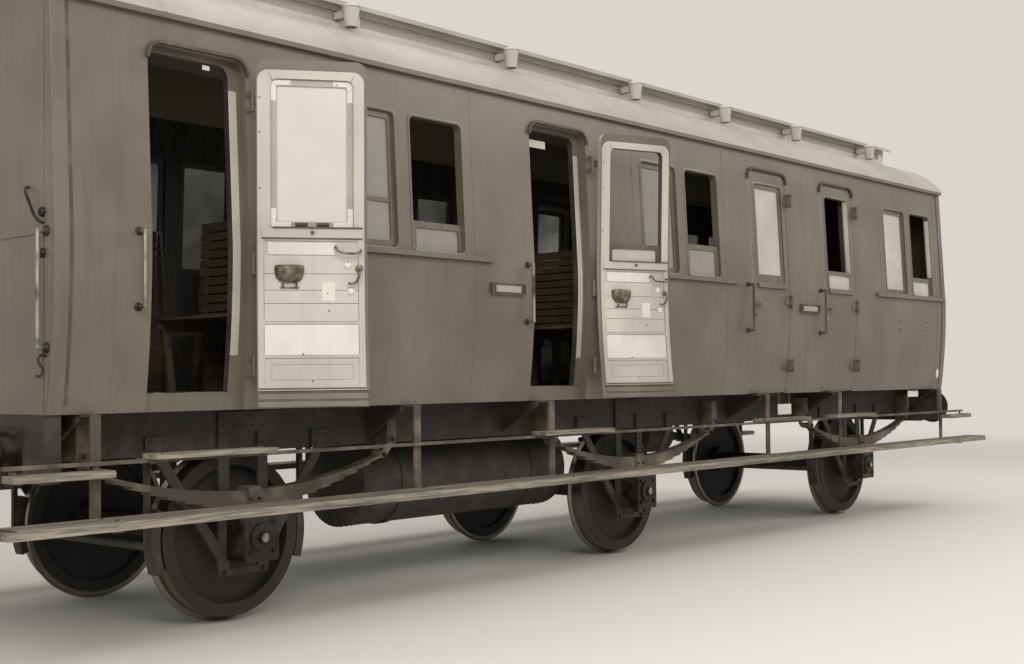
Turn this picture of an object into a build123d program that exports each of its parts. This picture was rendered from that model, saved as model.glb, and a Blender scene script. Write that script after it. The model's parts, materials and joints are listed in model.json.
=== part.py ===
from build123d import *
import os
from math import asin, atan2, cos, degrees, hypot, radians, sin, sqrt

# Three-axle passenger coach with side doors and a raised lantern roof.
# Millimetres. X runs along the coach, Y across it, Z up. The near side is at
# negative Y. The origin is under the middle axle, on the centre line, at the
# height of the lowest point of the wheel flanges.

# Bays from left to right: kind, distance of the centre from the one before, or from the left end
bays = (
    ("door", 900),
    ("windows", 1560),
    ("door", 1590),
    ("windows", 1575),
    ("door", 1385),
    ("door", 1300),
    ("windows", 1575),
)
right_end_bay = 865

# Wheels, axles and journals
axle_inset = 1475
tread_radius = 500
flange_height = 28
flange_width = 32
tread_fall = 7
tyre_width = 135
tyre_back_gauge = 1360
tyre_thickness = 65
rim_thickness = 20
hub_radius = 135
hub_length = 180
web_thickness = 26
web_dish = 14
axle_radius = 78
journal_radius = 60
journal_length = 190
journal_outside_tyre = 163
journal_clearance = 0.08

# Body shell
wall = 60
sill_height = 1290
waist_height = 2230
cornice_height = 3460
waist_half_width = 1330
tumble_in = 72
upper_lean = 0.045
floor_thickness = 100

# Doorways and door leaves
door_width = 650
door_head_drop = 185
door_corner = 70
leaf_thickness = 40
leaf_gap = 6
leaf_foot_gap = 10
leaf_back_gap = 6
hinge_side_gap = 8
lock_side_gap = 15
leaf_stile = 90
leaf_relief = 8
leaf_light_sill_rise = 50
leaf_light_head_drop = 300
lining_top_drop = 60
lining_lock_inset = 18
lining_hinge_inset = 6
post_depth = 45
post_play = 0.3
hinge_post = 80
lock_post = 25
post_head = 25
post_lap = 40

# Side windows
window_width = 480
window_post = 140
window_sill_rise = 60
window_head_drop = 300
window_corner = 40
sash_rail = 42
sash_thickness = 26
sash_set_back = 18
leaf_sash_rail = 36
leaf_sash_set_back = 7
glass_thickness = 5

# Roof and lantern
roof_eave_out = 34
roof_seat_in = 36
roof_shoulder_rise = 315
roof_crown_rise = 85
roof_bulge = 60
roof_thickness = 42
roof_end_overhang = 40
lantern_half_width = 800
lantern_end_setback = 360
lantern_wall = 40
lantern_eave_out = 65
lantern_eave_rise = 150
lantern_crown_rise = 175
lantern_skin = 30
lantern_end_overhang = 60

# Underframe
solebar_inside_journal = 73
solebar_height = 260
solebar_web = 10
solebar_flange = 75
solebar_flange_thickness = 14
headstock_depth = 90
headstock_height = 350
headstock_inset = 10
bearer_height = 160
bearer_thickness = 60
outrigger_thickness = 16
outrigger_tip_inset = 15
outrigger_tip_height = 40
outrigger_foot_rise = 30

# Steps
footboard_drop = 530
footboard_thickness = 45
footboard_width = 250
footboard_overhang = 375
upper_step_drop = 212
upper_step_thickness = 28
upper_step_width = 130
upper_step_length = 800
step_rail_width = 34
step_rail_height = 20
hanger_out = 78
hanger_width = 60
hanger_thickness = 12
hanger_top_reach = 132
hanger_foot_inset = 30

# Derived places and heights
body_length = right_end_bay + sum(step for kind, step in bays)
half_length = body_length / 2
shell_half_length = half_length - wall
bay_centres = [sum(step for kind, step in bays[:count + 1]) - half_length for count in range(len(bays))]
door_centres = [x for x, (kind, step) in zip(bay_centres, bays) if kind == "door"]
window_centres = [x for x, (kind, step) in zip(bay_centres, bays) if kind == "windows"]
bench_places = [(left + right) / 2 for left, right in zip(bay_centres, bay_centres[1:])]
outer_axle = half_length - axle_inset
axle_places = (-outer_axle, 0, outer_axle)
axle_height = tread_radius + flange_height
journal_centre = tyre_back_gauge / 2 + tyre_width + journal_outside_tyre
solebar_face = journal_centre - solebar_inside_journal
solebar_bottom = sill_height - solebar_height
floor_height = sill_height + floor_thickness
sill_half_width = waist_half_width - tumble_in
tumble_height = waist_height - sill_height
tumble_radius = (tumble_height**2 + tumble_in**2) / (2 * tumble_in)
cornice_half_width = waist_half_width - (cornice_height - waist_height) * upper_lean
door_top = cornice_height - door_head_drop
leaf_light_width = door_width - 2 * leaf_stile
leaf_light_low = waist_height + leaf_light_sill_rise
leaf_light_high = cornice_height - leaf_light_head_drop
leaf_light_height = leaf_light_high - leaf_light_low
window_low = waist_height + window_sill_rise
window_high = cornice_height - window_head_drop
window_height = window_high - window_low
roof_eave_half_width = cornice_half_width + roof_eave_out
roof_seat_half_width = cornice_half_width - roof_seat_in
roof_shoulder_z = cornice_height + roof_shoulder_rise
roof_crown_z = roof_shoulder_z + roof_crown_rise
lantern_half_length = half_length - lantern_end_setback
lantern_eave_half_width = lantern_half_width + lantern_eave_out
lantern_eave_z = roof_shoulder_z + lantern_eave_rise
lantern_crown_z = lantern_eave_z + lantern_crown_rise
hanger_face = sill_half_width + hanger_out
footboard_outer = hanger_face + hanger_thickness + footboard_width
footboard_top = sill_height - footboard_drop
upper_step_top = sill_height - upper_step_drop

# Near side doors from left to right: angle each stands open, height of sash that shows in its light
near_doors = (
    (144, leaf_light_height),
    (160, 170),
    (0, leaf_light_height),
    (0, 170),
)

# Near side window pairs from left to right: height of sash that shows in the left and right window
near_windows = (
    (window_height, 190),
    (window_height, 260),
    (window_height, 190),
)


def block(x, y, z):
    """Box between the given (low, high) pairs."""
    centre = Pos((x[0] + x[1]) / 2, (y[0] + y[1]) / 2, (z[0] + z[1]) / 2)
    return centre * Box(x[1] - x[0], y[1] - y[0], z[1] - z[0])


def rod_x(start, end, radius, y, z):
    """Round bar along X."""
    return Pos((start + end) / 2, y, z) * Rot(0, 90, 0) * Cylinder(radius, end - start)


def rod_y(start, end, radius, x, z):
    """Round bar along Y."""
    return Pos(x, (start + end) / 2, z) * Rot(90, 0, 0) * Cylinder(radius, end - start)


def joined(shapes):
    """One solid from pieces that meet."""
    whole = shapes[0]
    for shape in shapes[1:]:
        whole = whole + shape
    return whole


def mirror_y(shape):
    return mirror(shape, about=Plane.XZ)


def mirror_x(shape):
    return mirror(shape, about=Plane.YZ)


def both_sides(shape):
    return [shape, mirror_y(shape)]


def four_corners(shape):
    pair = both_sides(shape)
    return pair + [mirror_x(piece) for piece in pair]


def at_side(shape, side, x=0):
    """Put a piece made for the near side at x on the near or far side."""
    turn = 0 if side == "near" else 180
    return Pos(x, 0, 0) * Rot(0, 0, turn) * shape


def face_at(z):
    """Distance of the side's outer face from the centre line at height z."""
    if z >= waist_height:
        return waist_half_width - (z - waist_height) * upper_lean
    drop = waist_height - z
    return waist_half_width - tumble_radius + sqrt(tumble_radius**2 - drop**2)


section_plane = Plane(origin=(0, 0, 0), x_dir=(0, -1, 0), z_dir=(-1, 0, 0))


def side_line(low, high, offset):
    """Edges that follow the side's face from low to high, set out by offset."""
    def point(z):
        return (face_at(z) + offset, z)
    edges = []
    bend = min(high, waist_height)
    if low < bend:
        edges.append(ThreePointArc(point(low), point((low + bend) / 2), point(bend)))
    if high > max(low, waist_height):
        edges.append(Line(point(max(low, waist_height)), point(high)))
    return edges


def side_band(low, high, proud, depth, length):
    """Skin of the near side between two heights, from proud of its face to depth inside."""
    outer = side_line(low, high, proud)
    inner = side_line(low, high, -depth)
    caps = [
        Line((face_at(low) + proud, low), (face_at(low) - depth, low)),
        Line((face_at(high) + proud, high), (face_at(high) - depth, high)),
    ]
    face = make_face(outer + inner + caps)
    return extrude(section_plane * face, amount=length / 2, both=True)


def side_prism(width, low, high, corner, top_only=False):
    """Rounded block through the near side, centred on x = 0."""
    outline = Pos(0, (low + high) / 2) * Rectangle(width, high - low)
    corners = outline.vertices()
    if top_only:
        corners = corners.group_by(Axis.Y)[-1]
    outline = fillet(corners, corner)
    return extrude(Plane.XZ * outline, amount=2 * waist_half_width)


def seat_on_side(piece):
    """Trim a near-side piece where it would enter the wall."""
    return piece - side_band(sill_height, cornice_height, 0, wall, 2 * door_width)


def flat_bar(start, end, width, y):
    """Flat bar in the XZ plane between two points, from y[0] to y[1]."""
    length = hypot(end[0] - start[0], end[1] - start[1])
    angle = degrees(atan2(end[1] - start[1], end[0] - start[0]))
    bar = Box(length, y[1] - y[0], width)
    middle = Pos((start[0] + end[0]) / 2, (y[0] + y[1]) / 2, (start[1] + end[1]) / 2)
    return middle * Rot(0, -angle, 0) * bar


# Wheelsets

def wheelset():
    """Axle with two dished disc wheels, turned about the Y axis."""
    back = tyre_back_gauge / 2
    front = back + tyre_width
    middle = (back + front) / 2
    rim_inside = tread_radius - tyre_thickness - rim_thickness
    flange_radius = tread_radius + flange_height
    hub_in = middle - hub_length / 2
    hub_out = middle + hub_length / 2
    web_in = middle - web_thickness / 2
    web_out = middle + web_thickness / 2
    journal_in = journal_centre - journal_length / 2
    journal_out = journal_centre + journal_length / 2
    flange_tip = flange_width / 3
    # Contour of one half: distance along the axle, radius
    contour = [
        (0, 0),
        (0, axle_radius),
        (hub_in, axle_radius),
        (hub_in, hub_radius),
        (web_in + web_dish, hub_radius),
        (web_in - web_dish, rim_inside),
        (back, rim_inside),
        (back, flange_radius - flange_tip),
        (back + flange_tip, flange_radius),
        (back + 2 * flange_tip, flange_radius),
        (back + flange_width, tread_radius),
        (front, tread_radius - tread_fall),
        (front, rim_inside),
        (web_out - web_dish, rim_inside),
        (web_out + web_dish, hub_radius),
        (hub_out, hub_radius),
        (hub_out, axle_radius),
        (journal_in, axle_radius),
        (journal_in, journal_radius),
        (journal_out, journal_radius),
        (journal_out, 0),
    ]
    outline = make_face(Polyline([(radius, along) for along, radius in contour], close=True))
    half = revolve(outline, Axis.Y, 360)
    return Pos(0, 0, axle_height) * (half + mirror_y(half))


# Axleboxes, guards and springs

axlebox_half_width = 125
axlebox_depth = 210
axlebox_above = 150
axlebox_below = 140
axlebox_wall = 28
axlebox_corner = 18
axlebox_bore_gap = 6
cover_radius = 85
cover_thickness = 15
cover_boss_radius = 34
saddle_half_width = 70
saddle_half_depth = 60
saddle_height = 22
groove_depth = 20
groove_clearance = 0.3
guard_thickness = 20
guard_foot = 300
guard_leg_width = 75
guard_stay_width = 60
guard_half_spread = 620
guard_stay_rise = 40
guard_lug_in = 90
guard_lug_out = 60
guard_lug_height = 110
guard_keep_height = 40
guard_brow_height = 120
guard_top_gap = 20
spring_width = 90
spring_leaf = 13
spring_leaves = 8
spring_half_length = 1050
spring_rise = 160
spring_step = 115
spring_eye_radius = 26
buckle_half_width = 45
buckle_wall = 12
buckle_cap = 22
shackle_offset = 80
shackle_rise = 95
shackle_width = 46
shackle_thickness = 12
shackle_pin_radius = 22
spring_bracket_half_width = 40
spring_bracket_low = 25
spring_bracket_top_gap = 60


def axlebox():
    """Cast box round the journal, with grooves for the guard's horns."""
    front = journal_centre + journal_length / 2 + axlebox_wall
    rear = front - axlebox_depth
    low = axle_height - axlebox_below
    high = axle_height + axlebox_above
    box = block((-axlebox_half_width, axlebox_half_width), (-front, -rear), (low, high))
    box = fillet(box.edges().filter_by(Axis.Y), axlebox_corner)
    cover = rod_y(-front - cover_thickness, -front, cover_radius, 0, axle_height)
    boss = rod_y(-front - 2 * cover_thickness, -front, cover_boss_radius, 0, axle_height)
    saddle = block((-saddle_half_width, saddle_half_width),
                   (-journal_centre - saddle_half_depth, -journal_centre + saddle_half_depth),
                   (high, high + saddle_height))
    bore_end = journal_centre + journal_length / 2 + axlebox_bore_gap
    bore = rod_y(-bore_end, -rear, journal_radius + journal_clearance, 0, axle_height)
    box = joined([box, cover, boss, saddle]) - bore
    groove_floor = axlebox_half_width - groove_depth
    groove_y = (-solebar_face - guard_thickness - groove_clearance, -solebar_face + groove_clearance)
    groove = block((groove_floor, axlebox_half_width), groove_y, (low, high))
    return box - groove - mirror_x(groove)


def axle_guard():
    """Forked plate on the solebar whose horns guide the axlebox."""
    y = (-solebar_face - guard_thickness, -solebar_face)
    horn = axlebox_half_width - groove_depth + groove_clearance
    leg_out = horn + guard_leg_width
    top = sill_height - guard_top_gap
    leg = block((horn, leg_out), y, (guard_foot, top))
    foot = ((horn + leg_out) / 2, axle_height - axlebox_below)
    stay = flat_bar(foot, (guard_half_spread, solebar_bottom + guard_stay_rise), guard_stay_width, y)
    lug = block((guard_half_spread - guard_lug_in, guard_half_spread + guard_lug_out), y,
                (solebar_bottom, solebar_bottom + guard_lug_height))
    half = leg + stay + lug
    keep = block((-leg_out, leg_out), y, (guard_foot, guard_foot + guard_keep_height))
    brow = block((-leg_out, leg_out), y, (top - guard_brow_height, top))
    return joined([half, mirror_x(half), keep, brow])


def spring_blade(inner, outer, half_angle, centre):
    """One blade of the pack between two radii, bent about a point above it."""
    def at(r, a):
        return (r * sin(a), centre - r * cos(a))
    band = make_face([
        ThreePointArc(at(inner, -half_angle), at(inner, 0), at(inner, half_angle)),
        Line(at(inner, half_angle), at(outer, half_angle)),
        ThreePointArc(at(outer, half_angle), at(outer, 0), at(outer, -half_angle)),
        Line(at(outer, -half_angle), at(inner, -half_angle)),
    ])
    return extrude(Plane.XZ * band, amount=spring_width / 2, both=True)


def spring_end(eye_z):
    """Eye, shackle links, pin and solebar bracket of the right end."""
    eye = (spring_half_length, eye_z)
    pin = (spring_half_length + shackle_offset, eye_z + shackle_rise)
    half = spring_width / 2
    outer = half + shackle_thickness
    link = flat_bar(eye, pin, shackle_width, (half, outer))
    bracket = block((pin[0] - spring_bracket_half_width, pin[0] + spring_bracket_half_width),
                    (-half, journal_centre - solebar_face),
                    (pin[1] - spring_bracket_low, sill_height - spring_bracket_top_gap))
    return joined([
        rod_y(-half, half, spring_eye_radius, eye[0], eye[1]),
        link,
        mirror_y(link),
        rod_y(-outer, outer, shackle_pin_radius, pin[0], pin[1]),
        bracket,
    ])


def leaf_spring():
    """Pack of blades with its buckle, eyes, shackles and solebar brackets."""
    seat = axle_height + axlebox_above + saddle_height
    pack = spring_leaf * spring_leaves
    radius = (spring_half_length**2 + spring_rise**2) / (2 * spring_rise)
    centre = seat + pack + radius
    pieces = []
    for row in range(spring_leaves):
        half_angle = asin((spring_half_length - spring_step * row) / radius)
        inner = radius + spring_leaf * row
        pieces.append(spring_blade(inner, inner + spring_leaf, half_angle, centre))
    buckle_y = spring_width / 2 + buckle_wall
    pieces.append(block((-buckle_half_width, buckle_half_width), (-buckle_y, buckle_y),
                        (seat, seat + pack + buckle_cap)))
    end = spring_end(seat + pack + spring_rise)
    return Pos(0, -journal_centre, 0) * joined(pieces + [end, mirror_x(end)])


# Underframe

hanger_beyond_shackle = 120
hanger_inside_shackle = 80
middle_hanger_beyond_shackle = 370
bearer_end_inset = 375
bearer_axle_offset = 1300

shackle_reach = spring_half_length + shackle_offset
hanger_half_places = (
    outer_axle + shackle_reach + hanger_beyond_shackle,
    outer_axle - shackle_reach + hanger_inside_shackle,
    shackle_reach + middle_hanger_beyond_shackle,
)
hanger_places = [sign * x for x in hanger_half_places for sign in (-1, 1)]
bearer_half_places = (half_length - bearer_end_inset, outer_axle - bearer_axle_offset, bearer_axle_offset)
bearer_places = [sign * x for x in bearer_half_places for sign in (-1, 1)]


def solebar():
    """Channel with its web outwards, along the near side."""
    length = half_length - headstock_depth
    web = block((-length, length), (-solebar_face, -solebar_face + solebar_web),
                (solebar_bottom, sill_height))
    flange_y = (-solebar_face, -solebar_face + solebar_flange)
    low = block((-length, length), flange_y, (solebar_bottom, solebar_bottom + solebar_flange_thickness))
    high = block((-length, length), flange_y, (sill_height - solebar_flange_thickness, sill_height))
    return web + low + high


def outrigger(x):
    """Triangular bracket that carries the body side off the solebar, beside a hanger."""
    tip = sill_half_width - outrigger_tip_inset
    outline = make_face(Polyline([
        (solebar_face, sill_height),
        (tip, sill_height),
        (tip, sill_height - outrigger_tip_height),
        (solebar_face, solebar_bottom + outrigger_foot_rise),
    ], close=True))
    outward = 1 if x > 0 else -1
    beside = x + outward * (hanger_width + outrigger_thickness) / 2
    return Pos(beside, 0, 0) * extrude(section_plane * outline, amount=outrigger_thickness / 2, both=True)


def headstock():
    """End beam of the right end."""
    half_width = sill_half_width - headstock_inset
    return block((half_length - headstock_depth, half_length), (-half_width, half_width),
                 (sill_height - headstock_height, sill_height))


def bearer(x):
    """Cross beam between the solebars."""
    inner = solebar_face - solebar_web
    return block((x - bearer_thickness / 2, x + bearer_thickness / 2), (-inner, inner),
                 (sill_height - bearer_height, sill_height - solebar_flange_thickness))


def underframe():
    pieces = both_sides(solebar()) + [headstock(), mirror_x(headstock())]
    pieces += [bearer(x) for x in bearer_places]
    for x in hanger_places:
        pieces += both_sides(outrigger(x))
    return joined(pieces)


# Buffers and draw gear

buffer_above_rail = 1050
buffer_half_spacing = 875
buffer_reach = 650
buffer_head_radius = 185
buffer_head_thickness = 28
buffer_head_dish = 12
buffer_face_radius = 111
buffer_boss = 30
buffer_plunger_radius = 62
buffer_plate_size = 300
buffer_plate_thickness = 20
buffer_housing_radius = 95
buffer_housing_length = 380
buffer_collar_out = 30
buffer_collar_length = 60
buffer_lip_out = 12
buffer_lip_length = 40
draw_plate_thickness = 25
draw_plate_half_width = 150
draw_plate_half_height = 130
draw_shank_half = 32
draw_shank_length = 215
hook_radius = 85
hook_throat_radius = 38
hook_rise = 20
hook_half_thickness = 25
coupling_pin_offset = 170
coupling_pin_radius = 17
coupling_half_width = 95
coupling_link_half = 75
coupling_link_thickness = 24
coupling_link_width = 36
coupling_link_top = 30
coupling_drop = 190
coupling_nut_height = 40
coupling_nut_width = 60
coupling_screw_radius = 22
coupling_screw_length = 170
coupling_bow_height = 40

buffer_height = flange_height + buffer_above_rail


def buffer_housing():
    """Base plate and stepped barrel at the near corner of the right end."""
    start = half_length
    barrel_start = start + buffer_plate_thickness
    barrel_end = barrel_start + buffer_housing_length
    y = -buffer_half_spacing
    half_plate = buffer_plate_size / 2
    return joined([
        block((start, barrel_start), (y - half_plate, y + half_plate),
              (buffer_height - half_plate, buffer_height + half_plate)),
        rod_x(barrel_start, barrel_end, buffer_housing_radius, y, buffer_height),
        rod_x(barrel_start, barrel_start + buffer_collar_length, buffer_housing_radius + buffer_collar_out,
              y, buffer_height),
        rod_x(barrel_end - buffer_lip_length, barrel_end, buffer_housing_radius + buffer_lip_out,
              y, buffer_height),
    ])


def buffer_plunger():
    """Plunger with its slightly domed head."""
    start = half_length + buffer_plate_thickness + buffer_housing_length
    face = half_length + buffer_reach
    rim = face - buffer_head_dish
    edge = face - buffer_head_thickness
    back = edge - buffer_head_dish
    flat = buffer_face_radius
    shoulder = ((2 * face + rim) / 3, (2 * buffer_head_radius + flat) / 3)
    outline = make_face([
        Line((back, 0), (back, buffer_plunger_radius + buffer_boss)),
        Line((back, buffer_plunger_radius + buffer_boss), (edge, buffer_head_radius)),
        Line((edge, buffer_head_radius), (rim, buffer_head_radius)),
        ThreePointArc((rim, buffer_head_radius), shoulder, (face, flat)),
        Line((face, flat), (face, 0)),
        Line((face, 0), (back, 0)),
    ])
    head = Pos(0, -buffer_half_spacing, buffer_height) * revolve(outline, Axis.X, 360)
    return head + rod_x(start, back, buffer_plunger_radius, -buffer_half_spacing, buffer_height)


def draw_hook():
    """Draw plate with its shank and hook, right end."""
    face = half_length
    shank_end = face + draw_plate_thickness + draw_shank_length
    hook_x = shank_end + hook_throat_radius
    hook_z = buffer_height + hook_rise
    ring = Circle(hook_radius) - Circle(hook_throat_radius)
    mouth = Pos(-hook_radius / 2, hook_radius / 2) * Rectangle(hook_radius, hook_radius)
    curl = extrude(Plane.XZ * (Pos(hook_x, hook_z) * (ring - mouth)), amount=hook_half_thickness, both=True)
    plate = block((face, face + draw_plate_thickness), (-draw_plate_half_width, draw_plate_half_width),
                  (buffer_height - draw_plate_half_height, buffer_height + draw_plate_half_height))
    shank = block((face + draw_plate_thickness, shank_end), (-draw_shank_half, draw_shank_half),
                  (buffer_height - draw_shank_half, buffer_height + draw_shank_half))
    return plate + shank + curl


def screw_coupling():
    """Links and screw that hang from the draw hook's shank, right end."""
    x = half_length + coupling_pin_offset
    low = buffer_height - coupling_drop
    half_link = coupling_link_width / 2
    half_plate = coupling_link_thickness / 2
    screw_low = low - coupling_nut_height - coupling_screw_length
    link = block((x - half_link, x + half_link),
                 (-coupling_link_half - half_plate, -coupling_link_half + half_plate),
                 (low, buffer_height + coupling_link_top))
    nut_half = coupling_nut_width / 2
    nut = block((x - nut_half, x + nut_half), (-coupling_half_width, coupling_half_width),
                (low - coupling_nut_height, low))
    screw = Pos(x, 0, (screw_low + low) / 2) * Cylinder(coupling_screw_radius, low - screw_low)
    bow = block((x - half_link, x + half_link), (-coupling_link_half, coupling_link_half),
                (screw_low - coupling_bow_height, screw_low))
    pin = rod_y(-coupling_half_width, coupling_half_width, coupling_pin_radius, x, buffer_height)
    return joined([pin, link, mirror_y(link), nut, screw, bow])


# Gas tank and brakes

tank_radius = 310
tank_length = 2300
tank_right_end = -450
tank_wheel_gap = 20
tank_top_gap = 80
tank_end_depth = 70
tank_strap_inset = 450
tank_strap_thickness = 10
tank_strap_width = 60
tank_hanger_offset = 180
tank_hanger_half = 8
block_gap = 6
block_thickness = 55
block_half_angle = 20
block_flange_gap = 8
block_face_inset = 5
brake_hanger_inset = 12
brake_hanger_width = 30
brake_hanger_in = 25
brake_hanger_foot = 40
brake_beam_radius = 24
brake_beam_drop = 25
brake_beam_beyond = 40
cylinder_place = (1900, 250)
cylinder_drop = 410
cylinder_radius = 170
cylinder_length = 420
cylinder_cap_radius = 195
cylinder_cap_thickness = 30
cylinder_rod_radius = 22
cylinder_rod_length = 860
cylinder_carrier_width = 100
cylinder_carrier_sink = 70

tank_y = -(tyre_back_gauge / 2 - tank_wheel_gap - tank_radius)
tank_z = sill_height - bearer_height - tank_top_gap - tank_radius
tank_left_end = tank_right_end - tank_length
block_y = (tyre_back_gauge / 2 + flange_width + block_flange_gap,
           tyre_back_gauge / 2 + tyre_width - block_face_inset)


def gas_tank():
    """Riveted cylinder with domed ends, along the coach."""
    half = tank_length / 2
    shoulder = half - tank_end_depth
    dome = (tank_radius**2 + tank_end_depth**2) / (2 * tank_end_depth)
    half_turn = asin(tank_radius / dome) / 2
    mid = (half - dome + dome * cos(half_turn), dome * sin(half_turn))
    outline = make_face([
        Line((-half, 0), (half, 0)),
        ThreePointArc((half, 0), mid, (shoulder, tank_radius)),
        Line((shoulder, tank_radius), (-shoulder, tank_radius)),
        ThreePointArc((-shoulder, tank_radius), (-mid[0], mid[1]), (-half, 0)),
    ])
    return Pos((tank_left_end + tank_right_end) / 2, tank_y, tank_z) * revolve(outline, Axis.X, 360)


def tank_strap(x):
    """Steel band round the tank, hung from the underframe."""
    outer = tank_radius + tank_strap_thickness
    half = tank_strap_width / 2
    disc = rod_x(x - half, x + half, outer, tank_y, tank_z)
    ring = disc - rod_x(x - half, x + half, tank_radius, tank_y, tank_z)
    middle_radius = tank_radius + tank_strap_thickness / 2
    hanger_low = tank_z + sqrt(middle_radius**2 - tank_hanger_offset**2)
    hangers = []
    for y in (tank_y - tank_hanger_offset, tank_y + tank_hanger_offset):
        hangers.append(block((x - half, x + half), (y - tank_hanger_half, y + tank_hanger_half),
                             (hanger_low, sill_height)))
    return joined([ring] + hangers)


def brake_block():
    """Cast shoe beside the wheel's tread with its hanger."""
    inner = tread_radius + block_gap
    outer = inner + block_thickness
    a = radians(block_half_angle)

    def at(r, angle):
        return (r * cos(angle), axle_height + r * sin(angle))
    shoe_face = make_face([
        ThreePointArc(at(inner, -a), at(inner, 0), at(inner, a)),
        Line(at(inner, a), at(outer, a)),
        ThreePointArc(at(outer, a), at(outer, 0), at(outer, -a)),
        Line(at(outer, -a), at(inner, -a)),
    ])
    shoe = Pos(0, -block_y[0], 0) * extrude(Plane.XZ * shoe_face, amount=block_y[1] - block_y[0])
    hanger_x = outer - brake_hanger_inset
    hanger_y = -block_y[0] - brake_hanger_in
    hanger = block((hanger_x, hanger_x + brake_hanger_width), (hanger_y - brake_hanger_width, hanger_y),
                   (axle_height - brake_hanger_foot, sill_height))
    return shoe + hanger


def brake_set():
    """Blocks and cross beam beside an outer axle's wheels, right of it."""
    outer = tread_radius + block_gap + block_thickness
    beam_y = block_y[0] + brake_beam_beyond
    beam = rod_y(-beam_y, beam_y, brake_beam_radius, outer, axle_height - brake_beam_drop)
    return joined(both_sides(brake_block()) + [beam])


def brake_cylinder():
    """Cylinder with its rod, under the floor right of the middle axle."""
    x, y = cylinder_place
    z = sill_height - cylinder_drop
    left = x - cylinder_length / 2
    right = x + cylinder_length / 2
    half_carrier = cylinder_carrier_width / 2
    return joined([
        rod_x(left, right, cylinder_radius, y, z),
        rod_x(left - cylinder_cap_thickness, left, cylinder_cap_radius, y, z),
        rod_x(left - cylinder_rod_length, left, cylinder_rod_radius, y, z),
        block((x - half_carrier, x + half_carrier), (y - cylinder_radius, y + cylinder_radius),
              (z + cylinder_radius - cylinder_carrier_sink, sill_height)),
    ])


# Steps

def footboard_hanger():
    """Bent flat iron from the body's sill to the footboard."""
    low = footboard_top - footboard_thickness
    width = (-hanger_width / 2, hanger_width / 2)
    outer = -hanger_face - hanger_thickness
    return joined([
        block(width, (outer, outer + hanger_top_reach + hanger_thickness),
              (sill_height - hanger_thickness, sill_height)),
        block(width, (outer, -hanger_face), (low - hanger_thickness, sill_height)),
        block(width, (-footboard_outer + hanger_foot_inset, -hanger_face), (low - hanger_thickness, low)),
    ])


def footboard():
    half = half_length + footboard_overhang
    return block((-half, half), (-footboard_outer, -footboard_outer + footboard_width),
                 (footboard_top - footboard_thickness, footboard_top))


def upper_steps():
    """Thin iron rail along the side with a board under each door."""
    rail_in = -hanger_face - hanger_thickness
    board_low = upper_step_top - upper_step_thickness
    half_board = upper_step_length / 2
    pieces = [block((-half_length, half_length), (rail_in - step_rail_width, rail_in),
                    (board_low - step_rail_height, board_low))]
    for x in door_centres:
        pieces.append(block((x - half_board, x + half_board), (rail_in - upper_step_width, rail_in),
                            (board_low, upper_step_top)))
    return joined(pieces)


# Body shell

def window_places():
    """Centres of all side windows, pair by pair."""
    offset = (window_width + window_post) / 2
    return [(x - offset, x + offset) for x in window_centres]


def side_wall(side):
    skin = side_band(sill_height, cornice_height, 0, wall, 2 * shell_half_length)
    doorway = side_prism(door_width, floor_height, door_top, door_corner, top_only=True)
    # Below the doorway the wall steps back behind the leaf, which reaches down to the sill
    doorway = doorway + side_band(sill_height, floor_height + leaf_gap, leaf_relief,
                                  leaf_thickness + leaf_back_gap, door_width)
    window = side_prism(window_width, window_low, window_high, window_corner)
    turn = 1 if side == "near" else -1
    for x in door_centres:
        skin = skin - Pos(turn * x, 0, 0) * doorway
    for pair in window_places():
        for x in pair:
            skin = skin - Pos(turn * x, 0, 0) * window
    return at_side(skin, side)


def door_posts():
    """Frame behind a doorway, on the wall's inner face, that the leaf shuts against."""
    width = door_width + 2 * post_lap
    high = door_top + post_lap
    frame = side_prism(width, floor_height, high, door_corner, top_only=True)
    clear_width = door_width - hinge_post - lock_post
    clear_centre = (lock_post - hinge_post) / 2
    opening = side_prism(clear_width, floor_height - post_lap, door_top - post_head, door_corner,
                         top_only=True)
    depth = side_band(floor_height, high, -wall - post_play, wall + post_depth, width)
    return (depth & frame) - Pos(clear_centre, 0, 0) * opening


def roof_line(eave, shoulder, crown):
    """Arched roof line as edges, from one eave over the crown to the other."""
    chord = (shoulder[0] - eave[0], shoulder[1] - eave[1])
    length = hypot(chord[0], chord[1])
    mid = ((eave[0] + shoulder[0]) / 2 + roof_bulge * chord[1] / length,
           (eave[1] + shoulder[1]) / 2 - roof_bulge * chord[0] / length)
    left = (-shoulder[0], shoulder[1])
    return [
        ThreePointArc(eave, mid, shoulder),
        ThreePointArc(shoulder, crown, left),
        ThreePointArc(left, (-mid[0], mid[1]), (-eave[0], eave[1])),
    ]


def roof_outer():
    return roof_line((roof_eave_half_width, cornice_height), (lantern_half_width, roof_shoulder_z),
                     (0, roof_crown_z))


def roof_inner():
    return roof_line((roof_seat_half_width, cornice_height),
                     (lantern_half_width - roof_thickness / 2, roof_shoulder_z - roof_thickness),
                     (0, roof_crown_z - roof_thickness))


def roof():
    """Curved main roof with the lantern's well cut out."""
    caps = [
        Line((sign * roof_eave_half_width, cornice_height), (sign * roof_seat_half_width, cornice_height))
        for sign in (-1, 1)
    ]
    face = make_face(roof_outer() + roof_inner() + caps)
    shell = extrude(section_plane * face, amount=half_length + roof_end_overhang, both=True)
    well = block((-lantern_half_length, lantern_half_length), (-lantern_half_width, lantern_half_width),
                 (cornice_height, roof_crown_z + roof_thickness))
    return shell - well


def lantern_arch(z_offset):
    """Arc over the lantern from eave to eave, raised by z_offset."""
    eave_z = lantern_eave_z + z_offset
    return ThreePointArc((lantern_eave_half_width, eave_z), (0, lantern_crown_z + z_offset),
                         (-lantern_eave_half_width, eave_z))


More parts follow.
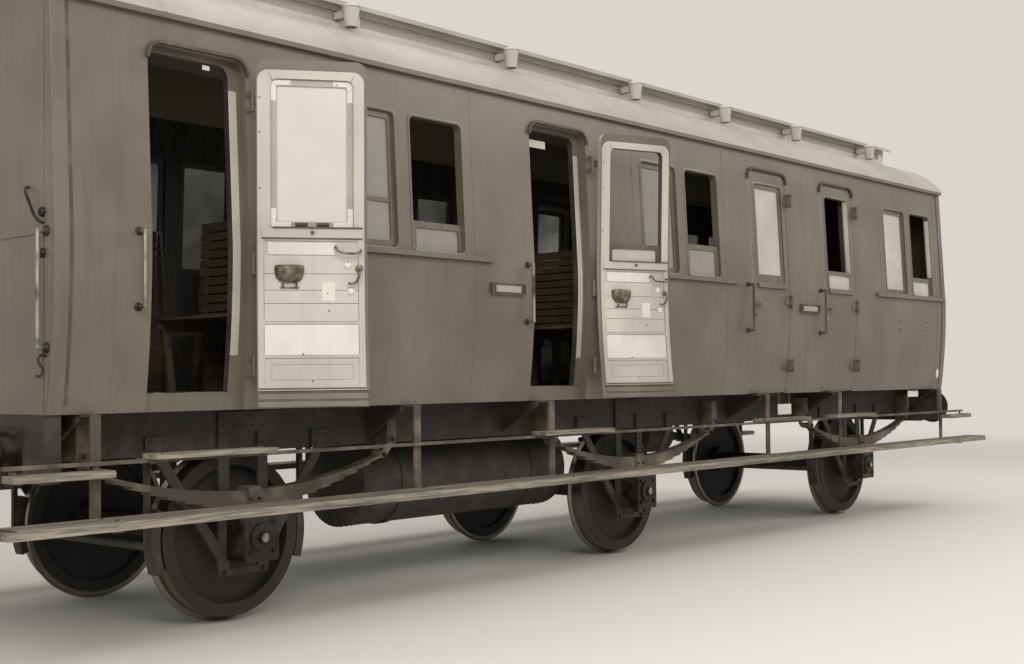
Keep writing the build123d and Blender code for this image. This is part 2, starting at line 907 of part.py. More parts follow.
def lantern_roof():
    """Arched cover of the lantern with its overhanging eaves."""
    caps = [
        Line((sign * lantern_eave_half_width, lantern_eave_z),
             (sign * lantern_eave_half_width, lantern_eave_z + lantern_skin))
        for sign in (-1, 1)
    ]
    face = make_face([lantern_arch(0), lantern_arch(lantern_skin)] + caps)
    return extrude(section_plane * face, amount=lantern_half_length + lantern_end_overhang, both=True)


lantern_light_low = 55
lantern_light_height = 75
lantern_light_gap = 190
lantern_light_end_gap = 120

lantern_light_z = (roof_shoulder_z + lantern_light_low,
                   roof_shoulder_z + lantern_light_low + lantern_light_height)


def lantern_lights():
    """Left and right edge of each pane in the lantern's sides, clear of the ventilators."""
    end = lantern_half_length - lantern_light_end_gap
    edges = [-end]
    for x in bay_centres:
        edges += [x - lantern_light_gap / 2, x + lantern_light_gap / 2]
    edges.append(end)
    return [(left, right) for left, right in zip(edges[::2], edges[1::2]) if right - left > lantern_light_gap]


def lantern_sides():
    """Ring of low walls with panes, between the roof and the lantern's cover."""
    x = lantern_half_length
    y = lantern_half_width
    low = roof_shoulder_z - roof_thickness
    ring = block((-x, x), (-y, y), (low, lantern_crown_z))
    ring = ring - block((lantern_wall - x, x - lantern_wall), (lantern_wall - y, y - lantern_wall),
                        (low, lantern_crown_z))
    eave = lantern_eave_half_width
    under = make_face([
        lantern_arch(0),
        Line((-eave, lantern_eave_z), (-eave, low)),
        Line((-eave, low), (eave, low)),
        Line((eave, low), (eave, lantern_eave_z)),
    ])
    ring = ring & extrude(section_plane * under, amount=x, both=True)
    for edges in lantern_lights():
        ring = ring - block(edges, (-eave, eave), lantern_light_z)
    return ring


def lantern_glass():
    y = -lantern_half_width + lantern_wall / 2
    panes = []
    for edges in lantern_lights():
        panes += both_sides(block(edges, (y, y + glass_thickness), lantern_light_z))
    return panes


ventilator_top_radius = 58
ventilator_low_radius = 42
ventilator_skin = 5
ventilator_height = 130
ventilator_hollow = 90
ventilator_low_drop = 8
ventilator_eave_gap = 8
ventilator_left_of_bay = 110
ventilator_cap_out = 7
ventilator_cap_height = 32
ventilator_cap_top_radius = 18
ventilator_neck_half_width = 26
ventilator_neck_z = (70, 118)


def ventilator():
    """Funnel-shaped cowl, open below, on a short neck from the lantern's near side."""
    y = -lantern_eave_half_width - ventilator_top_radius - ventilator_cap_out - ventilator_eave_gap
    low = roof_shoulder_z - ventilator_low_drop
    top = low + ventilator_height
    funnel = Pos(0, y, (low + top) / 2) * Cone(
        ventilator_low_radius, ventilator_top_radius, ventilator_height)
    cap = Pos(0, y, top + ventilator_cap_height / 2) * Cone(
        ventilator_top_radius + ventilator_cap_out, ventilator_cap_top_radius, ventilator_cap_height)
    neck_low, neck_high = ventilator_neck_z
    neck = block((-ventilator_neck_half_width, ventilator_neck_half_width), (y, -lantern_half_width),
                 (low + neck_low, low + neck_high))
    hollow = Pos(0, y, low + ventilator_hollow / 2) * Cylinder(
        ventilator_low_radius - ventilator_skin, ventilator_hollow)
    return (funnel + neck - hollow) + cap


def end_wall():
    """Flat end with the section's outline, right end."""
    side_edges = side_line(sill_height, cornice_height, 0)
    other_edges = [mirror(edge, about=Plane.YZ) for edge in side_edges]
    bottom = Line((-sill_half_width, sill_height), (sill_half_width, sill_height))
    shelf = [
        Line((sign * cornice_half_width, cornice_height), (sign * roof_seat_half_width, cornice_height))
        for sign in (-1, 1)
    ]
    face = make_face(side_edges + other_edges + roof_inner() + shelf + [bottom])
    return Pos(shell_half_length, 0, 0) * extrude(section_plane * face, amount=-wall)


def floor():
    low = sill_half_width - wall
    high = face_at(floor_height) - wall
    face = make_face(Polyline([
        (-low, sill_height),
        (low, sill_height),
        (high, floor_height),
        (-high, floor_height),
    ], close=True))
    return extrude(section_plane * face, amount=shell_half_length, both=True)


# Windows

def sash_and_pane(light_low, light_high, width, rail, set_back, thickness, shown):
    """Sash and glass of a light in the near side, of whose height shown stands above the sill."""
    top = light_low + shown
    drop = light_high - top
    opening = side_prism(width, light_low, light_high, window_corner)
    glazing = side_prism(width - 2 * rail, light_low - drop + rail, top - rail, window_corner / 2)
    band = side_band(light_low, top, -set_back, set_back + thickness, width)
    glass_depth = set_back + (thickness - glass_thickness) / 2
    sheet = side_band(light_low, top, -glass_depth, glass_depth + glass_thickness, width)
    return (band & opening) - glazing, sheet & opening & glazing


def window_pieces():
    """Sashes and panes of both sides as two lists."""
    sashes = []
    panes = []
    for pair, states in zip(window_places(), near_windows):
        for x, shown in zip(pair, states):
            for side, height in (("near", shown), ("far", window_height)):
                sash, pane = sash_and_pane(window_low, window_high, window_width, sash_rail,
                                           sash_set_back, sash_thickness, height)
                sashes.append(at_side(sash, side, x))
                panes.append(at_side(pane, side, x))
    return sashes, panes


# Doors, made about x = 0 with the hinge line on their right

hinge_standoff = 22
hinge_edge_gap = 12
hinge_low_rise = 150
hinge_middle_drop = 110
hinge_top_drop = 225
hinge_radius = 14
hinge_pin_radius = 7
hinge_half_height = 60
hinge_knuckle_half = 30
hinge_play = 1
hinge_strap_half_width = 25
hinge_strap_length = 90
hinge_strap_thickness = 8
hinge_overlap = 4
leaf_border = 34
leaf_panel_corner = 12
kick_panel_rise = 25
kick_panel_height = 165
white_panel_height = 180
leaf_rail = 12
leaf_ledge_out = 22
leaf_ledge_drop = (12, 45)
leaf_ledge_side = 30
handle_drop = 150
handle_inset = 45
handle_rose_radius = 26
handle_rose_thickness = 13
handle_stem_radius = 9
handle_stem_length = 45
handle_grip = (-12, 95)
handle_grip_thickness = 14
handle_grip_half_height = 10

hinge_x = door_width / 2 - hinge_side_gap + hinge_edge_gap
hinge_y = -(waist_half_width + hinge_standoff)
hinge_heights = (floor_height + hinge_low_rise, waist_height - hinge_middle_drop, door_top - hinge_top_drop)
leaf_left = -door_width / 2 + lock_side_gap
leaf_right = door_width / 2 - hinge_side_gap

kick_panel_low = floor_height + kick_panel_rise
white_panel_low = kick_panel_low + kick_panel_height + leaf_rail
board_panel_low = white_panel_low + white_panel_height + leaf_rail

# Sunk panels of a leaf's inner face: low and high edge
leaf_panels = (
    (kick_panel_low, kick_panel_low + kick_panel_height),
    (white_panel_low, white_panel_low + white_panel_height),
    (board_panel_low, leaf_light_low - leaf_border),
)


def leaf(shown):
    """Leaf that follows the body side, panelled inside, with its sash in place."""
    low = sill_height + leaf_foot_gap
    high = door_top - leaf_gap
    width = leaf_right - leaf_left
    outline = side_prism(width, low, high, door_corner - leaf_gap, top_only=True)
    light = side_prism(leaf_light_width, leaf_light_low, leaf_light_high, window_corner)
    lining_low = floor_height + leaf_gap
    lining_high = high - lining_top_drop
    lining_width = width - lining_lock_inset - lining_hinge_inset
    lining = side_band(lining_low, lining_high, -leaf_thickness, leaf_thickness + leaf_relief, lining_width)
    lining = lining & side_prism(lining_width, lining_low, lining_high, door_corner - leaf_gap, top_only=True)
    for panel_low, panel_high in leaf_panels:
        lining = lining - side_prism(lining_width - 2 * leaf_border, panel_low, panel_high, leaf_panel_corner)
    lining = Pos((lining_lock_inset - lining_hinge_inset) / 2, 0, 0) * lining
    ledge_high, ledge_low = leaf_ledge_drop
    ledge = side_band(leaf_light_low - ledge_low, leaf_light_low - ledge_high, leaf_ledge_out, 0,
                      leaf_light_width + leaf_ledge_side)
    skin = side_band(low, high, 0, leaf_thickness, width)
    sash, _ = leaf_sash_and_pane(shown)
    return Pos((leaf_left + leaf_right) / 2, 0, 0) * (((skin + lining) & outline) - light + ledge + sash)


def leaf_sash_and_pane(shown):
    return sash_and_pane(leaf_light_low, leaf_light_high, leaf_light_width, leaf_sash_rail,
                         leaf_sash_set_back, sash_thickness, shown)


def leaf_glass(shown):
    _, pane = leaf_sash_and_pane(shown)
    return Pos((leaf_left + leaf_right) / 2, 0, 0) * pane


def leaf_strap(z):
    """Hinge strap with its bored knuckle, on the leaf."""
    low = z - hinge_strap_half_width
    high = z + hinge_strap_half_width
    face = -min(face_at(low), face_at(high))
    strap = Pos(leaf_right - hinge_strap_length / 2, 0, 0) * side_band(
        low, high, hinge_strap_thickness, 0, hinge_strap_length)
    neck = block((leaf_right - hinge_radius, hinge_x - hinge_radius + hinge_overlap),
                 (hinge_y, face), (low, high))
    knuckle = Pos(hinge_x, hinge_y, z) * Cylinder(hinge_radius, 2 * hinge_knuckle_half)
    bore = Pos(hinge_x, hinge_y, z) * Cylinder(hinge_pin_radius + journal_clearance, 2 * hinge_half_height)
    return strap + neck + knuckle - bore


def door_handle():
    """Turned grip on the outer face near the lock edge."""
    z = waist_height - handle_drop
    x = leaf_left + handle_inset
    face = -face_at(z)
    rose = rod_y(face - handle_rose_thickness, face, handle_rose_radius, x, z)
    stem = rod_y(face - handle_stem_length, face, handle_stem_radius, x, z)
    grip = block((x + handle_grip[0], x + handle_grip[1]),
                 (face - handle_stem_length - handle_grip_thickness / 2,
                  face - handle_stem_length + handle_grip_thickness / 2),
                 (z - handle_grip_half_height, z + handle_grip_half_height))
    return rose + stem + grip


def swing(shape, angle):
    """Turn a door's piece about the hinge line."""
    return Pos(hinge_x, hinge_y, 0) * Rot(0, 0, angle) * Pos(-hinge_x, -hinge_y, 0) * shape


def door(shown):
    return joined([leaf(shown)] + [leaf_strap(z) for z in hinge_heights] + [door_handle()])


def hinge_bracket(z):
    """Body half of a hinge with its pin."""
    pieces = [Pos(hinge_x, hinge_y, z) * Cylinder(hinge_pin_radius, 2 * hinge_half_height)]
    for sign in (-1, 1):
        low, high = sorted((z + sign * (hinge_knuckle_half + hinge_play), z + sign * hinge_half_height))
        face = -min(face_at(low), face_at(high))
        pieces.append(block((hinge_x - hinge_overlap, hinge_x + hinge_radius), (hinge_y, face), (low, high)))
        pieces.append(Pos(hinge_x, hinge_y, (low + high) / 2) * Cylinder(hinge_radius, high - low))
    return seat_on_side(joined(pieces))


# Outside fittings

ledge_drop = (12, 45)
ledge_out = 30
ledge_beyond = 260
drip_out = 22
drip_beyond = 15
drip_thickness = 18
drip_rise = 30
drip_end_drop = 75
grab_rail_gap = 80
grab_rail_below_waist = 380
grab_rail_above_waist = 20
grab_rail_stand = 55
grab_rail_radius = 11
plate_doors = (2, 4)
plate_offset = 620
plate_drop = (120, 200)
plate_width = 350
plate_out = 22
plate_lip = 10
end_rail_corner_inset = 32
end_rail_above_sill = 340
end_rail_below_waist = 10
end_rail_stand = 50
end_rail_radius = 12
gutter_height = 30


def sill_ledge():
    """Moulded ledge under a pair of windows."""
    high, low = ledge_drop
    length = 2 * window_width + window_post + 2 * ledge_beyond
    return side_band(window_low - low, window_low - high, ledge_out, 0, length)


def door_head():
    """Drip rail over a doorway with its ends turned down."""
    width = door_width + 2 * drip_beyond
    low = door_top - drip_end_drop
    high = door_top + drip_rise
    rail = side_prism(width, low, high, door_corner + drip_rise, top_only=True)
    inside = side_prism(width - 2 * drip_thickness, low - drip_rise, high - drip_thickness,
                        door_corner + drip_rise - drip_thickness, top_only=True)
    return (side_band(low, high, drip_out, 0, width) & rail) - inside


def bent_rail(low, high, stand, radius):
    """Upright round bar at y = -stand, with two feet that reach y = 0."""
    pieces = [Pos(0, -stand, (low + high) / 2) * Cylinder(radius, high - low)]
    for z in (low, high):
        pieces.append(rod_y(-stand, 0, radius, 0, z))
        pieces.append(Pos(0, -stand, z) * Sphere(radius))
    return joined(pieces)


def grab_rail():
    """Bent bar beside a doorway, left of it."""
    low = waist_height - grab_rail_below_waist
    high = waist_height + grab_rail_above_waist
    root = face_at(low - grab_rail_radius) - grab_rail_radius
    rail = bent_rail(low, high, waist_half_width + grab_rail_stand - root, grab_rail_radius)
    return seat_on_side(Pos(-door_width / 2 - grab_rail_gap, -root, 0) * rail)


def plate_holder():
    """Small ledged box that holds a slip-in plate."""
    high = waist_height - plate_drop[0]
    low = waist_height - plate_drop[1]
    body = side_band(low, high, plate_out, 0, plate_width)
    slot = side_band(low + plate_lip, high + plate_lip, plate_out + plate_lip, -plate_lip,
                     plate_width - 2 * plate_lip)
    return body - slot


def end_handrail():
    """Upright rail near a corner of the right end."""
    low = sill_height + end_rail_above_sill
    rail = bent_rail(low, waist_height - end_rail_below_waist, end_rail_stand, end_rail_radius)
    return Pos(half_length, end_rail_corner_inset - face_at(low), 0) * Rot(0, 0, 90) * rail


def gutter():
    """Rain strip along the eave."""
    low = cornice_height - gutter_height
    return block((-half_length, half_length), (-roof_eave_half_width, -face_at(low)), (low, cornice_height))


# Benches

bench_depth = 430
bench_height = 450
bench_back_height = 1080
bench_aisle_half = 260
bench_wall_gap = 5
bench_foot_half = 60
bench_top_half = 24
bench_frame_thickness = 35
bench_frame_inset = 60
bench_rail_height = 55
bench_leg_width = 50
bench_leg_rake = 45
bench_nose = 12
slat_width = 46
slat_gap = 10
slat_thickness = 18

bench_wall_y = face_at(floor_height) - wall - bench_wall_gap
bench_y = (-bench_wall_y, -bench_aisle_half)
bench_seat_z = floor_height + bench_height
bench_top_z = floor_height + bench_back_height


def slats(start, end, y):
    """Row of slats laid along the line between two points of the XZ plane."""
    length = hypot(end[0] - start[0], end[1] - start[1])
    count = int((length + slat_gap) // (slat_width + slat_gap))
    step = ((end[0] - start[0]) / count, (end[1] - start[1]) / count)
    share = slat_gap * count / length
    row = []
    for place in range(count):
        first = (start[0] + step[0] * place, start[1] + step[1] * place)
        last = (first[0] + step[0] * (1 - share), first[1] + step[1] * (1 - share))
        row.append(flat_bar(first, last, slat_thickness, y))
    return row


def bench_frames(outline):
    """Two upright plates of the given XZ outline, near the bench's ends."""
    plate = extrude(Plane.XZ * make_face(Polyline(outline, close=True)), amount=bench_frame_thickness)
    near = bench_wall_y - bench_frame_inset - bench_frame_thickness
    return [Pos(0, -near, 0) * plate, Pos(0, -bench_aisle_half - bench_frame_inset, 0) * plate]


def bench_seat():
    """Slatted seat on two frames, right of a bench back."""
    under = bench_seat_z - slat_thickness / 2
    rail = under - bench_rail_height
    leg_top = bench_depth - bench_leg_rake
    outline = [
        (bench_foot_half, under),
        (bench_depth - bench_nose, under),
        (bench_depth - bench_nose, rail),
        (leg_top, rail),
        (leg_top - bench_leg_rake, floor_height),
        (leg_top - bench_leg_rake - bench_leg_width, floor_height),
        (leg_top - bench_leg_width, rail),
        (bench_foot_half, rail),
    ]
    row = slats((bench_foot_half, bench_seat_z), (bench_depth, bench_seat_z), bench_y)
    return joined(bench_frames(outline) + row)


def bench_back(half=False):
    """Raked backs on common frames, with a cap rail; half of it stands against an end wall."""
    left = 0 if half else -1
    outline = [
        (left * bench_foot_half, floor_height),
        (bench_foot_half, floor_height),
        (bench_foot_half, bench_seat_z),
        (bench_top_half, bench_top_z),
        (left * bench_top_half, bench_top_z),
        (left * bench_foot_half, bench_seat_z),
    ]
    if half:
        outline = outline[:5]
    rise = slat_thickness / 2
    row = slats((bench_foot_half - rise, bench_seat_z), (bench_top_half - rise, bench_top_z), bench_y)
    if not half:
        row += [mirror_x(slat) for slat in row]
    cap = block((left * bench_top_half, bench_top_half), bench_y, (bench_top_z - slat_thickness, bench_top_z))
    return joined(bench_frames(outline) + row + [cap])


# Assembly: node name to its list of solids

def solids_of(shapes):
    return [solid for shape in shapes for solid in shape.solids()]


nodes = {}

for name, x in zip(("left", "middle", "right"), axle_places):
    nodes["wheelset_" + name] = [Pos(x, 0, 0) * wheelset()]

for node, piece in (("axleboxes", axlebox()), ("axle_guards", axle_guard()), ("leaf_springs", leaf_spring())):
    nodes[node] = [Pos(x, 0, 0) * solid for x in axle_places for solid in both_sides(piece)]

brakes = brake_set()
nodes["brake_gear"] = [
    Pos(x, 0, 0) * solid for x in (-outer_axle, outer_axle) for solid in (brakes, mirror_x(brakes))
]
nodes["brake_cylinder"] = [brake_cylinder()]
nodes["underframe"] = [underframe()]
nodes["buffer_housings"] = four_corners(buffer_housing())
nodes["buffers"] = four_corners(buffer_plunger())
couplings = draw_hook() + screw_coupling()
nodes["draw_gear"] = [couplings, mirror_x(couplings)]
nodes["gas_tank"] = [gas_tank()]
nodes["gas_tank_straps"] = [
    tank_strap(x) for x in (tank_left_end + tank_strap_inset, tank_right_end - tank_strap_inset)
]

nodes["footboards"] = both_sides(footboard())
nodes["upper_steps"] = both_sides(upper_steps())
hanger = footboard_hanger()
nodes["footboard_hangers"] = [Pos(x, 0, 0) * solid for x in hanger_places for solid in both_sides(hanger)]

for side in ("near", "far"):
    nodes["side_wall_" + side] = [side_wall(side)]
nodes["end_wall_right"] = [end_wall()]
nodes["end_wall_left"] = [mirror_x(end_wall())]
nodes["floor"] = [floor()]
nodes["roof"] = [roof()]
nodes["lantern_sides"] = [lantern_sides()]
nodes["lantern_roof"] = [lantern_roof()]
nodes["lantern_glass"] = lantern_glass()
nodes["roof_ventilators"] = [
    Pos(x - ventilator_left_of_bay, 0, 0) * solid for x in bay_centres for solid in both_sides(ventilator())
]
nodes["gutters"] = both_sides(gutter())
nodes["window_sashes"], nodes["window_glass"] = window_pieces()
nodes["end_handrails"] = four_corners(end_handrail())

for node, piece, places in (
    ("sill_ledges", sill_ledge(), window_centres),
    ("door_posts", door_posts(), door_centres),
    ("door_heads", door_head(), door_centres),
    ("grab_rails", grab_rail(), door_centres),
):
    nodes[node] = [at_side(piece, side, x) for side in ("near", "far") for x in places]

nodes["plate_holders"] = [
    at_side(Pos(-plate_offset, 0, 0) * plate_holder(), side, door_centres[number - 1])
    for side in ("near", "far") for number in plate_doors
]
nodes["door_hinges"] = [
    at_side(hinge_bracket(z), side, x)
    for side in ("near", "far")
    for x in door_centres
    for z in hinge_heights
]

for number, (x, (angle, shown)) in enumerate(zip(door_centres, near_doors), 1):
    for side, at_rest, height in (("near", angle, shown), ("far", 0, leaf_light_height)):
        name = f"door_{number}_{side}"
        nodes[name] = [at_side(swing(door(height), at_rest), side, x)]
        nodes[name + "_glass"] = [at_side(swing(leaf_glass(height), at_rest), side, x)]

seat = bench_seat()
back = bench_back()
nodes["benches"] = [
    Pos(x, 0, 0) * solid
    for x in bench_places
    for half in (seat, mirror_x(seat))
    for solid in both_sides(half)
]
nodes["bench_backs"] = [Pos(x, 0, 0) * solid for x in bench_places for solid in both_sides(back)]
end_back = bench_back(half=True)
for node, piece in (("benches", seat), ("bench_backs", end_back)):
    for solid in both_sides(Pos(-shell_half_length, 0, 0) * piece):
        nodes[node] += [solid, mirror_x(solid)]

os.makedirs("parts", exist_ok=True)
for name, shapes in nodes.items():
    solids = solids_of(shapes)
    shape = solids[0] if len(solids) == 1 else Compound(children=solids)
    export_step(shape, f"parts/{name}.step")
    print(name, len(solids))
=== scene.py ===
import json
import math
from contextlib import contextmanager
from itertools import product

import bmesh
import bpy
from bpy.props import FloatProperty, FloatVectorProperty, PointerProperty
from mathutils import Matrix, Vector


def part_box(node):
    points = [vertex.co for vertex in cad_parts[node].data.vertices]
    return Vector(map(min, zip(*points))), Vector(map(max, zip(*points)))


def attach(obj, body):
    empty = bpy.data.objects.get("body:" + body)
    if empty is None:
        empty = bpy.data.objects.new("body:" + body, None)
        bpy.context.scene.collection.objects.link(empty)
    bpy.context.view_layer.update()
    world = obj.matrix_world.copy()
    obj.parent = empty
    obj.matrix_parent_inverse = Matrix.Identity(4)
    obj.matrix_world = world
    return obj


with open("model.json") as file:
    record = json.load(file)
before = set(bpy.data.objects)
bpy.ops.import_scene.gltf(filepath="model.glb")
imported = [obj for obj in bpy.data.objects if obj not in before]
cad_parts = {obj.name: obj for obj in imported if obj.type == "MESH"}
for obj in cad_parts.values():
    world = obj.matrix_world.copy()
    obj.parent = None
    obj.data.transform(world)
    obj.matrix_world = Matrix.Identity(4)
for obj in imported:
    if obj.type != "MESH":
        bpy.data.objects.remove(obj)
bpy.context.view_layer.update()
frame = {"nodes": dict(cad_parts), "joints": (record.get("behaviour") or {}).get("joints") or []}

bl_info = {
    "name": "Three-axle passenger coach",
    "version": (1, 0, 0),
    "blender": (4, 5, 0),
    "location": "3D View > Sidebar > Coach",
    "description": "Dresses the packed frame of a passenger coach with its finishes, fittings and stage",
    "category": "Object",
}

# Row frame in metres: X along the coach, Y across it with the near side at negative Y, Z up.

# Section of the sides, as in the part's source
WAIST_Z = 2.230
TUMBLE_IN = 0.072
UPPER_LEAN = 0.045

# Door leaves, from the doorway's centre
HINGE_FROM_CENTRE = 0.329
LEAF_LEFT = -0.310
LEAF_RIGHT = 0.317
LEAF_LIGHT_HALF = 0.235
LEAF_LIGHT_LOW = 2.280
LEAF_LIGHT_HIGH = 3.160
DOORWAY_HALF = 0.325

# Side windows
WINDOW_PAIRS = (-2.915, 0.250, 4.510)
WINDOW_OFFSET = 0.310
WINDOW_HALF = 0.240
WINDOW_LOW = 2.290
WINDOW_HIGH = 3.160
WINDOW_CORNER = 0.040

# Heights and lengths read from the frame
wall_low, wall_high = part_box("side_wall_near")
SILL_Z = wall_low.z
CORNICE_Z = wall_high.z
WAIST_HALF = -wall_low.y
SHELL_X = wall_high.x
END_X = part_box("end_wall_right")[1].x
FLOOR_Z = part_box("floor")[1].z
TUMBLE_HEIGHT = WAIST_Z - SILL_Z
TUMBLE_RADIUS = (TUMBLE_HEIGHT**2 + TUMBLE_IN**2) / (2 * TUMBLE_IN)
SIDES = {"near": -1, "far": 1}
ENDS = {"left": -1, "right": 1}

DOOR_NUMBERS = (1, 2, 3, 4)
LEAVES = tuple((number, side) for side in SIDES for number in DOOR_NUMBERS)
AXLES = (-3.9, 0.0, 3.9)
AXLE_Z = 0.528

# Directions of fittings on a near side, a right end and a level face
OUTWARD = (0, -1, 0)
INWARD = (0, 1, 0)
ENDWARD = (1, 0, 0)
UPWARD = (0, 0, 1)

joints = {joint["name"]: joint for joint in frame["joints"]}


def linear(code):
    """Linear colour from an sRGB hex value such as 8A7F70."""
    channels = [int(code[i:i + 2], 16) / 255 for i in (0, 2, 4)]
    return [c / 12.92 if c <= 0.04045 else ((c + 0.055) / 1.055)**2.4 for c in channels] + [1.0]


def per_mm(size):
    """Texture scale whose features are this many millimetres across."""
    return 1000.0 / size


# Sizes and colours that a user would change

def colour_property(name, description, code):
    return FloatVectorProperty(name=name, description=description, subtype="COLOR", size=4,
                               min=0.0, max=1.0, default=linear(code))


class CoachColours(bpy.types.PropertyGroup):
    body: colour_property("Body", "Enamel of the sides and ends", "635A4E")
    inside: colour_property("Inside of doors", "Enamel of the leaves' inner faces", "B3AEA4")
    board: colour_property("Door boards", "Enamel of the boards on the leaves' inner faces", "BBB4A9")
    panel: colour_property("Door panels", "Pale sheets on the leaves' inner faces", "CFC9BF")
    drab: colour_property("Door frames", "Enamel of the posts behind the leaves", "60594D")
    lining: colour_property("Wall lining", "Varnished boards inside the walls", "51453A")
    ceiling: colour_property("Ceiling", "Paint under the roof", "A8A08F")
    roof: colour_property("Roof", "Lead paint on the roof", "9D968C")
    frame: colour_property("Underframe", "Paint of the underframe", "2E2A26")
    iron: colour_property("Cast iron", "Axleboxes and buffer housings", "3A352F")
    wheel: colour_property("Wheels", "Rusty rolled steel", "2E2925")
    step: colour_property("Steps", "Weathered planks", "8B8070")
    bench: colour_property("Benches", "Varnished slats", "66594A")
    sash: colour_property("Window sashes", "Varnished frames", "6B6152")
    glass_dust_and_reflection: colour_property("Glass dust", "Film of dust on the panes", "CBC5BA")
    plate: colour_property("Plates", "Blank enamel plates", "D5D0C4")
    floor: colour_property("Studio floor", "Floor and backdrop", "D9D6D0")


class CoachSizes(bpy.types.PropertyGroup):
    trim: FloatProperty(name="Trim", description="How far mouldings stand proud of the sides",
                        default=0.006, min=0.002, max=0.02, unit="LENGTH")
    rivet: FloatProperty(name="Rivet", description="Radius of a rivet head",
                         default=0.011, min=0.004, max=0.03, unit="LENGTH")
    rivet_spacing: FloatProperty(name="Rivet spacing", description="Distance between rivets of a row",
                                 default=0.12, min=0.05, max=0.5, unit="LENGTH")
    roof_seam: FloatProperty(name="Roof seams", description="Distance between the seams of the roof",
                             default=1.34, min=0.5, max=3.0, unit="LENGTH")


# Shapes of the sides and doors

def face_at(z):
    """Distance of a side's outer face from the centre line at height z."""
    if z >= WAIST_Z:
        return WAIST_HALF - (z - WAIST_Z) * UPPER_LEAN
    return WAIST_HALF - TUMBLE_RADIUS + math.sqrt(TUMBLE_RADIUS**2 - (WAIST_Z - z)**2)


def heights(low, high, step=0.09):
    """Heights from low to high, close enough to follow the side's curve, with one at its bend."""
    if low < WAIST_Z < high:
        return heights(low, WAIST_Z, step) + heights(WAIST_Z, high, step)[1:]
    count = max(1, math.ceil((high - low) / step))
    return [low + (high - low) * i / count for i in range(count + 1)]


def side_matrix(side, x=0.0):
    """Turns a piece made for the near side about x = 0 to its place on a side."""
    return Matrix.Translation((x, 0, 0)) @ Matrix.Rotation(0 if side == "near" else math.pi, 4, "Z")


def end_matrix(sign):
    """Turns a piece made for the right end to either end."""
    return Matrix.Rotation(0 if sign > 0 else math.pi, 4, "Z")


def body_of(leaf):
    """Name of the body and node of a leaf, which is given as (number, side)."""
    return "door_{}_{}".format(*leaf)


def door_matrix(leaf):
    """Takes a piece made for a shut near door about x = 0 to where that leaf stands at rest."""
    side = leaf[1]
    joint = joints[f"{body_of(leaf)}_swings"]
    hinge = Vector((joint["pos_m"][0], joint["pos_m"][1], 0))
    centre = hinge.x + HINGE_FROM_CENTRE * SIDES[side]
    at_rest = -math.radians(joint["range_deg"][0])
    swing = Matrix.Translation(hinge) @ Matrix.Rotation(at_rest, 4, "Z") @ Matrix.Translation(-hinge)
    return swing @ side_matrix(side, centre)


def door_centre(number):
    """Middle along the coach of a doorway on the near side."""
    return joints[f"door_{number}_near_swings"]["pos_m"][0] - HINGE_FROM_CENTRE


# Mesh tools

def bridge(bm, loops, ring=True):
    """Joins equal loops of points by faces; ring says whether each loop is closed."""
    rows = [[bm.verts.new(point) for point in loop] for loop in loops]
    count = len(rows[0])
    for first, second in zip(rows, rows[1:]):
        for i in range(count if ring else count - 1):
            j = (i + 1) % count
            bm.faces.new((first[i], first[j], second[j], second[i]))
    return rows


def bridge_solid(bm, loops):
    """Joins equal closed loops by faces and caps both ends."""
    rows = bridge(bm, loops)
    bm.faces.new(rows[0][::-1])
    bm.faces.new(rows[-1])


def add_block(bm, low, high):
    """Block between two corners."""
    x, y, z = zip(low, high)
    loops = [[(a, y[0], z[0]), (a, y[1], z[0]), (a, y[1], z[1]), (a, y[0], z[1])] for a in x]
    bridge_solid(bm, loops)


def add_side_strip(bm, x, z, depth, step=0.09):
    """Strip that follows the near side: x and z as (low, high), depth as (inner, outer) from its face."""
    loops = []
    for height in heights(z[0], z[1], step):
        inner = -(face_at(height) + depth[0])
        outer = -(face_at(height) + depth[1])
        loops.append([(x[0], inner, height), (x[1], inner, height),
                      (x[1], outer, height), (x[0], outer, height)])
    bridge_solid(bm, loops)


def rounded(half_width, low, high, corner, segments=5, top_only=False):
    """Closed outline of a rounded rectangle as (x, z) points."""
    points = []
    centres = (
        (half_width - corner, low + corner, -90),
        (half_width - corner, high - corner, 0),
        (-half_width + corner, high - corner, 90),
        (-half_width + corner, low + corner, 180),
    )
    for place, (x, z, start) in enumerate(centres):
        if top_only and place in (0, 3):
            points.append((math.copysign(half_width, x), low))
            continue
        for i in range(segments + 1):
            angle = math.radians(start + 90 * i / segments)
            points.append((x + corner * math.cos(angle), z + corner * math.sin(angle)))
    return points


def add_side_ring(bm, outline, outset, depth, offset_x=0.0):
    """Moulding round an outline on the near side, outset wide, between two depths from its face."""
    centre_z = sum(z for x, z in outline) / len(outline)
    half_x = max(x for x, z in outline)
    half_z = max(z for x, z in outline) - centre_z
    scale = ((half_x + outset) / half_x, (half_z + outset) / half_z)
    outer = [(x * scale[0], centre_z + (z - centre_z) * scale[1]) for x, z in outline]
    chamfer = (depth[1] - depth[0]) * 0.35

    def loop(points, proud):
        return [(x + offset_x, -(face_at(z) + proud), z) for x, z in points]

    def between(share):
        return [((1 - share) * a + share * c, (1 - share) * b + share * d)
                for (a, b), (c, d) in zip(outline, outer)]

    loops = [
        loop(outline, depth[0]),
        loop(outline, depth[1] - chamfer),
        loop(between(0.25), depth[1]),
        loop(between(0.75), depth[1]),
        loop(outer, depth[1] - chamfer),
        loop(outer, depth[0]),
    ]
    rows = bridge(bm, loops)
    for first, second in zip(range(-1, len(outline) - 1), range(len(outline))):
        bm.faces.new((rows[-1][first], rows[-1][second], rows[0][second], rows[0][first]))


def basis(direction):
    """Two directions square to the given one."""
    along = Vector(direction).normalized()
    helper = Vector((0, 0, 1)) if abs(along.z) < 0.9 else Vector((1, 0, 0))
    across = along.cross(helper).normalized()
    return across, along.cross(across)


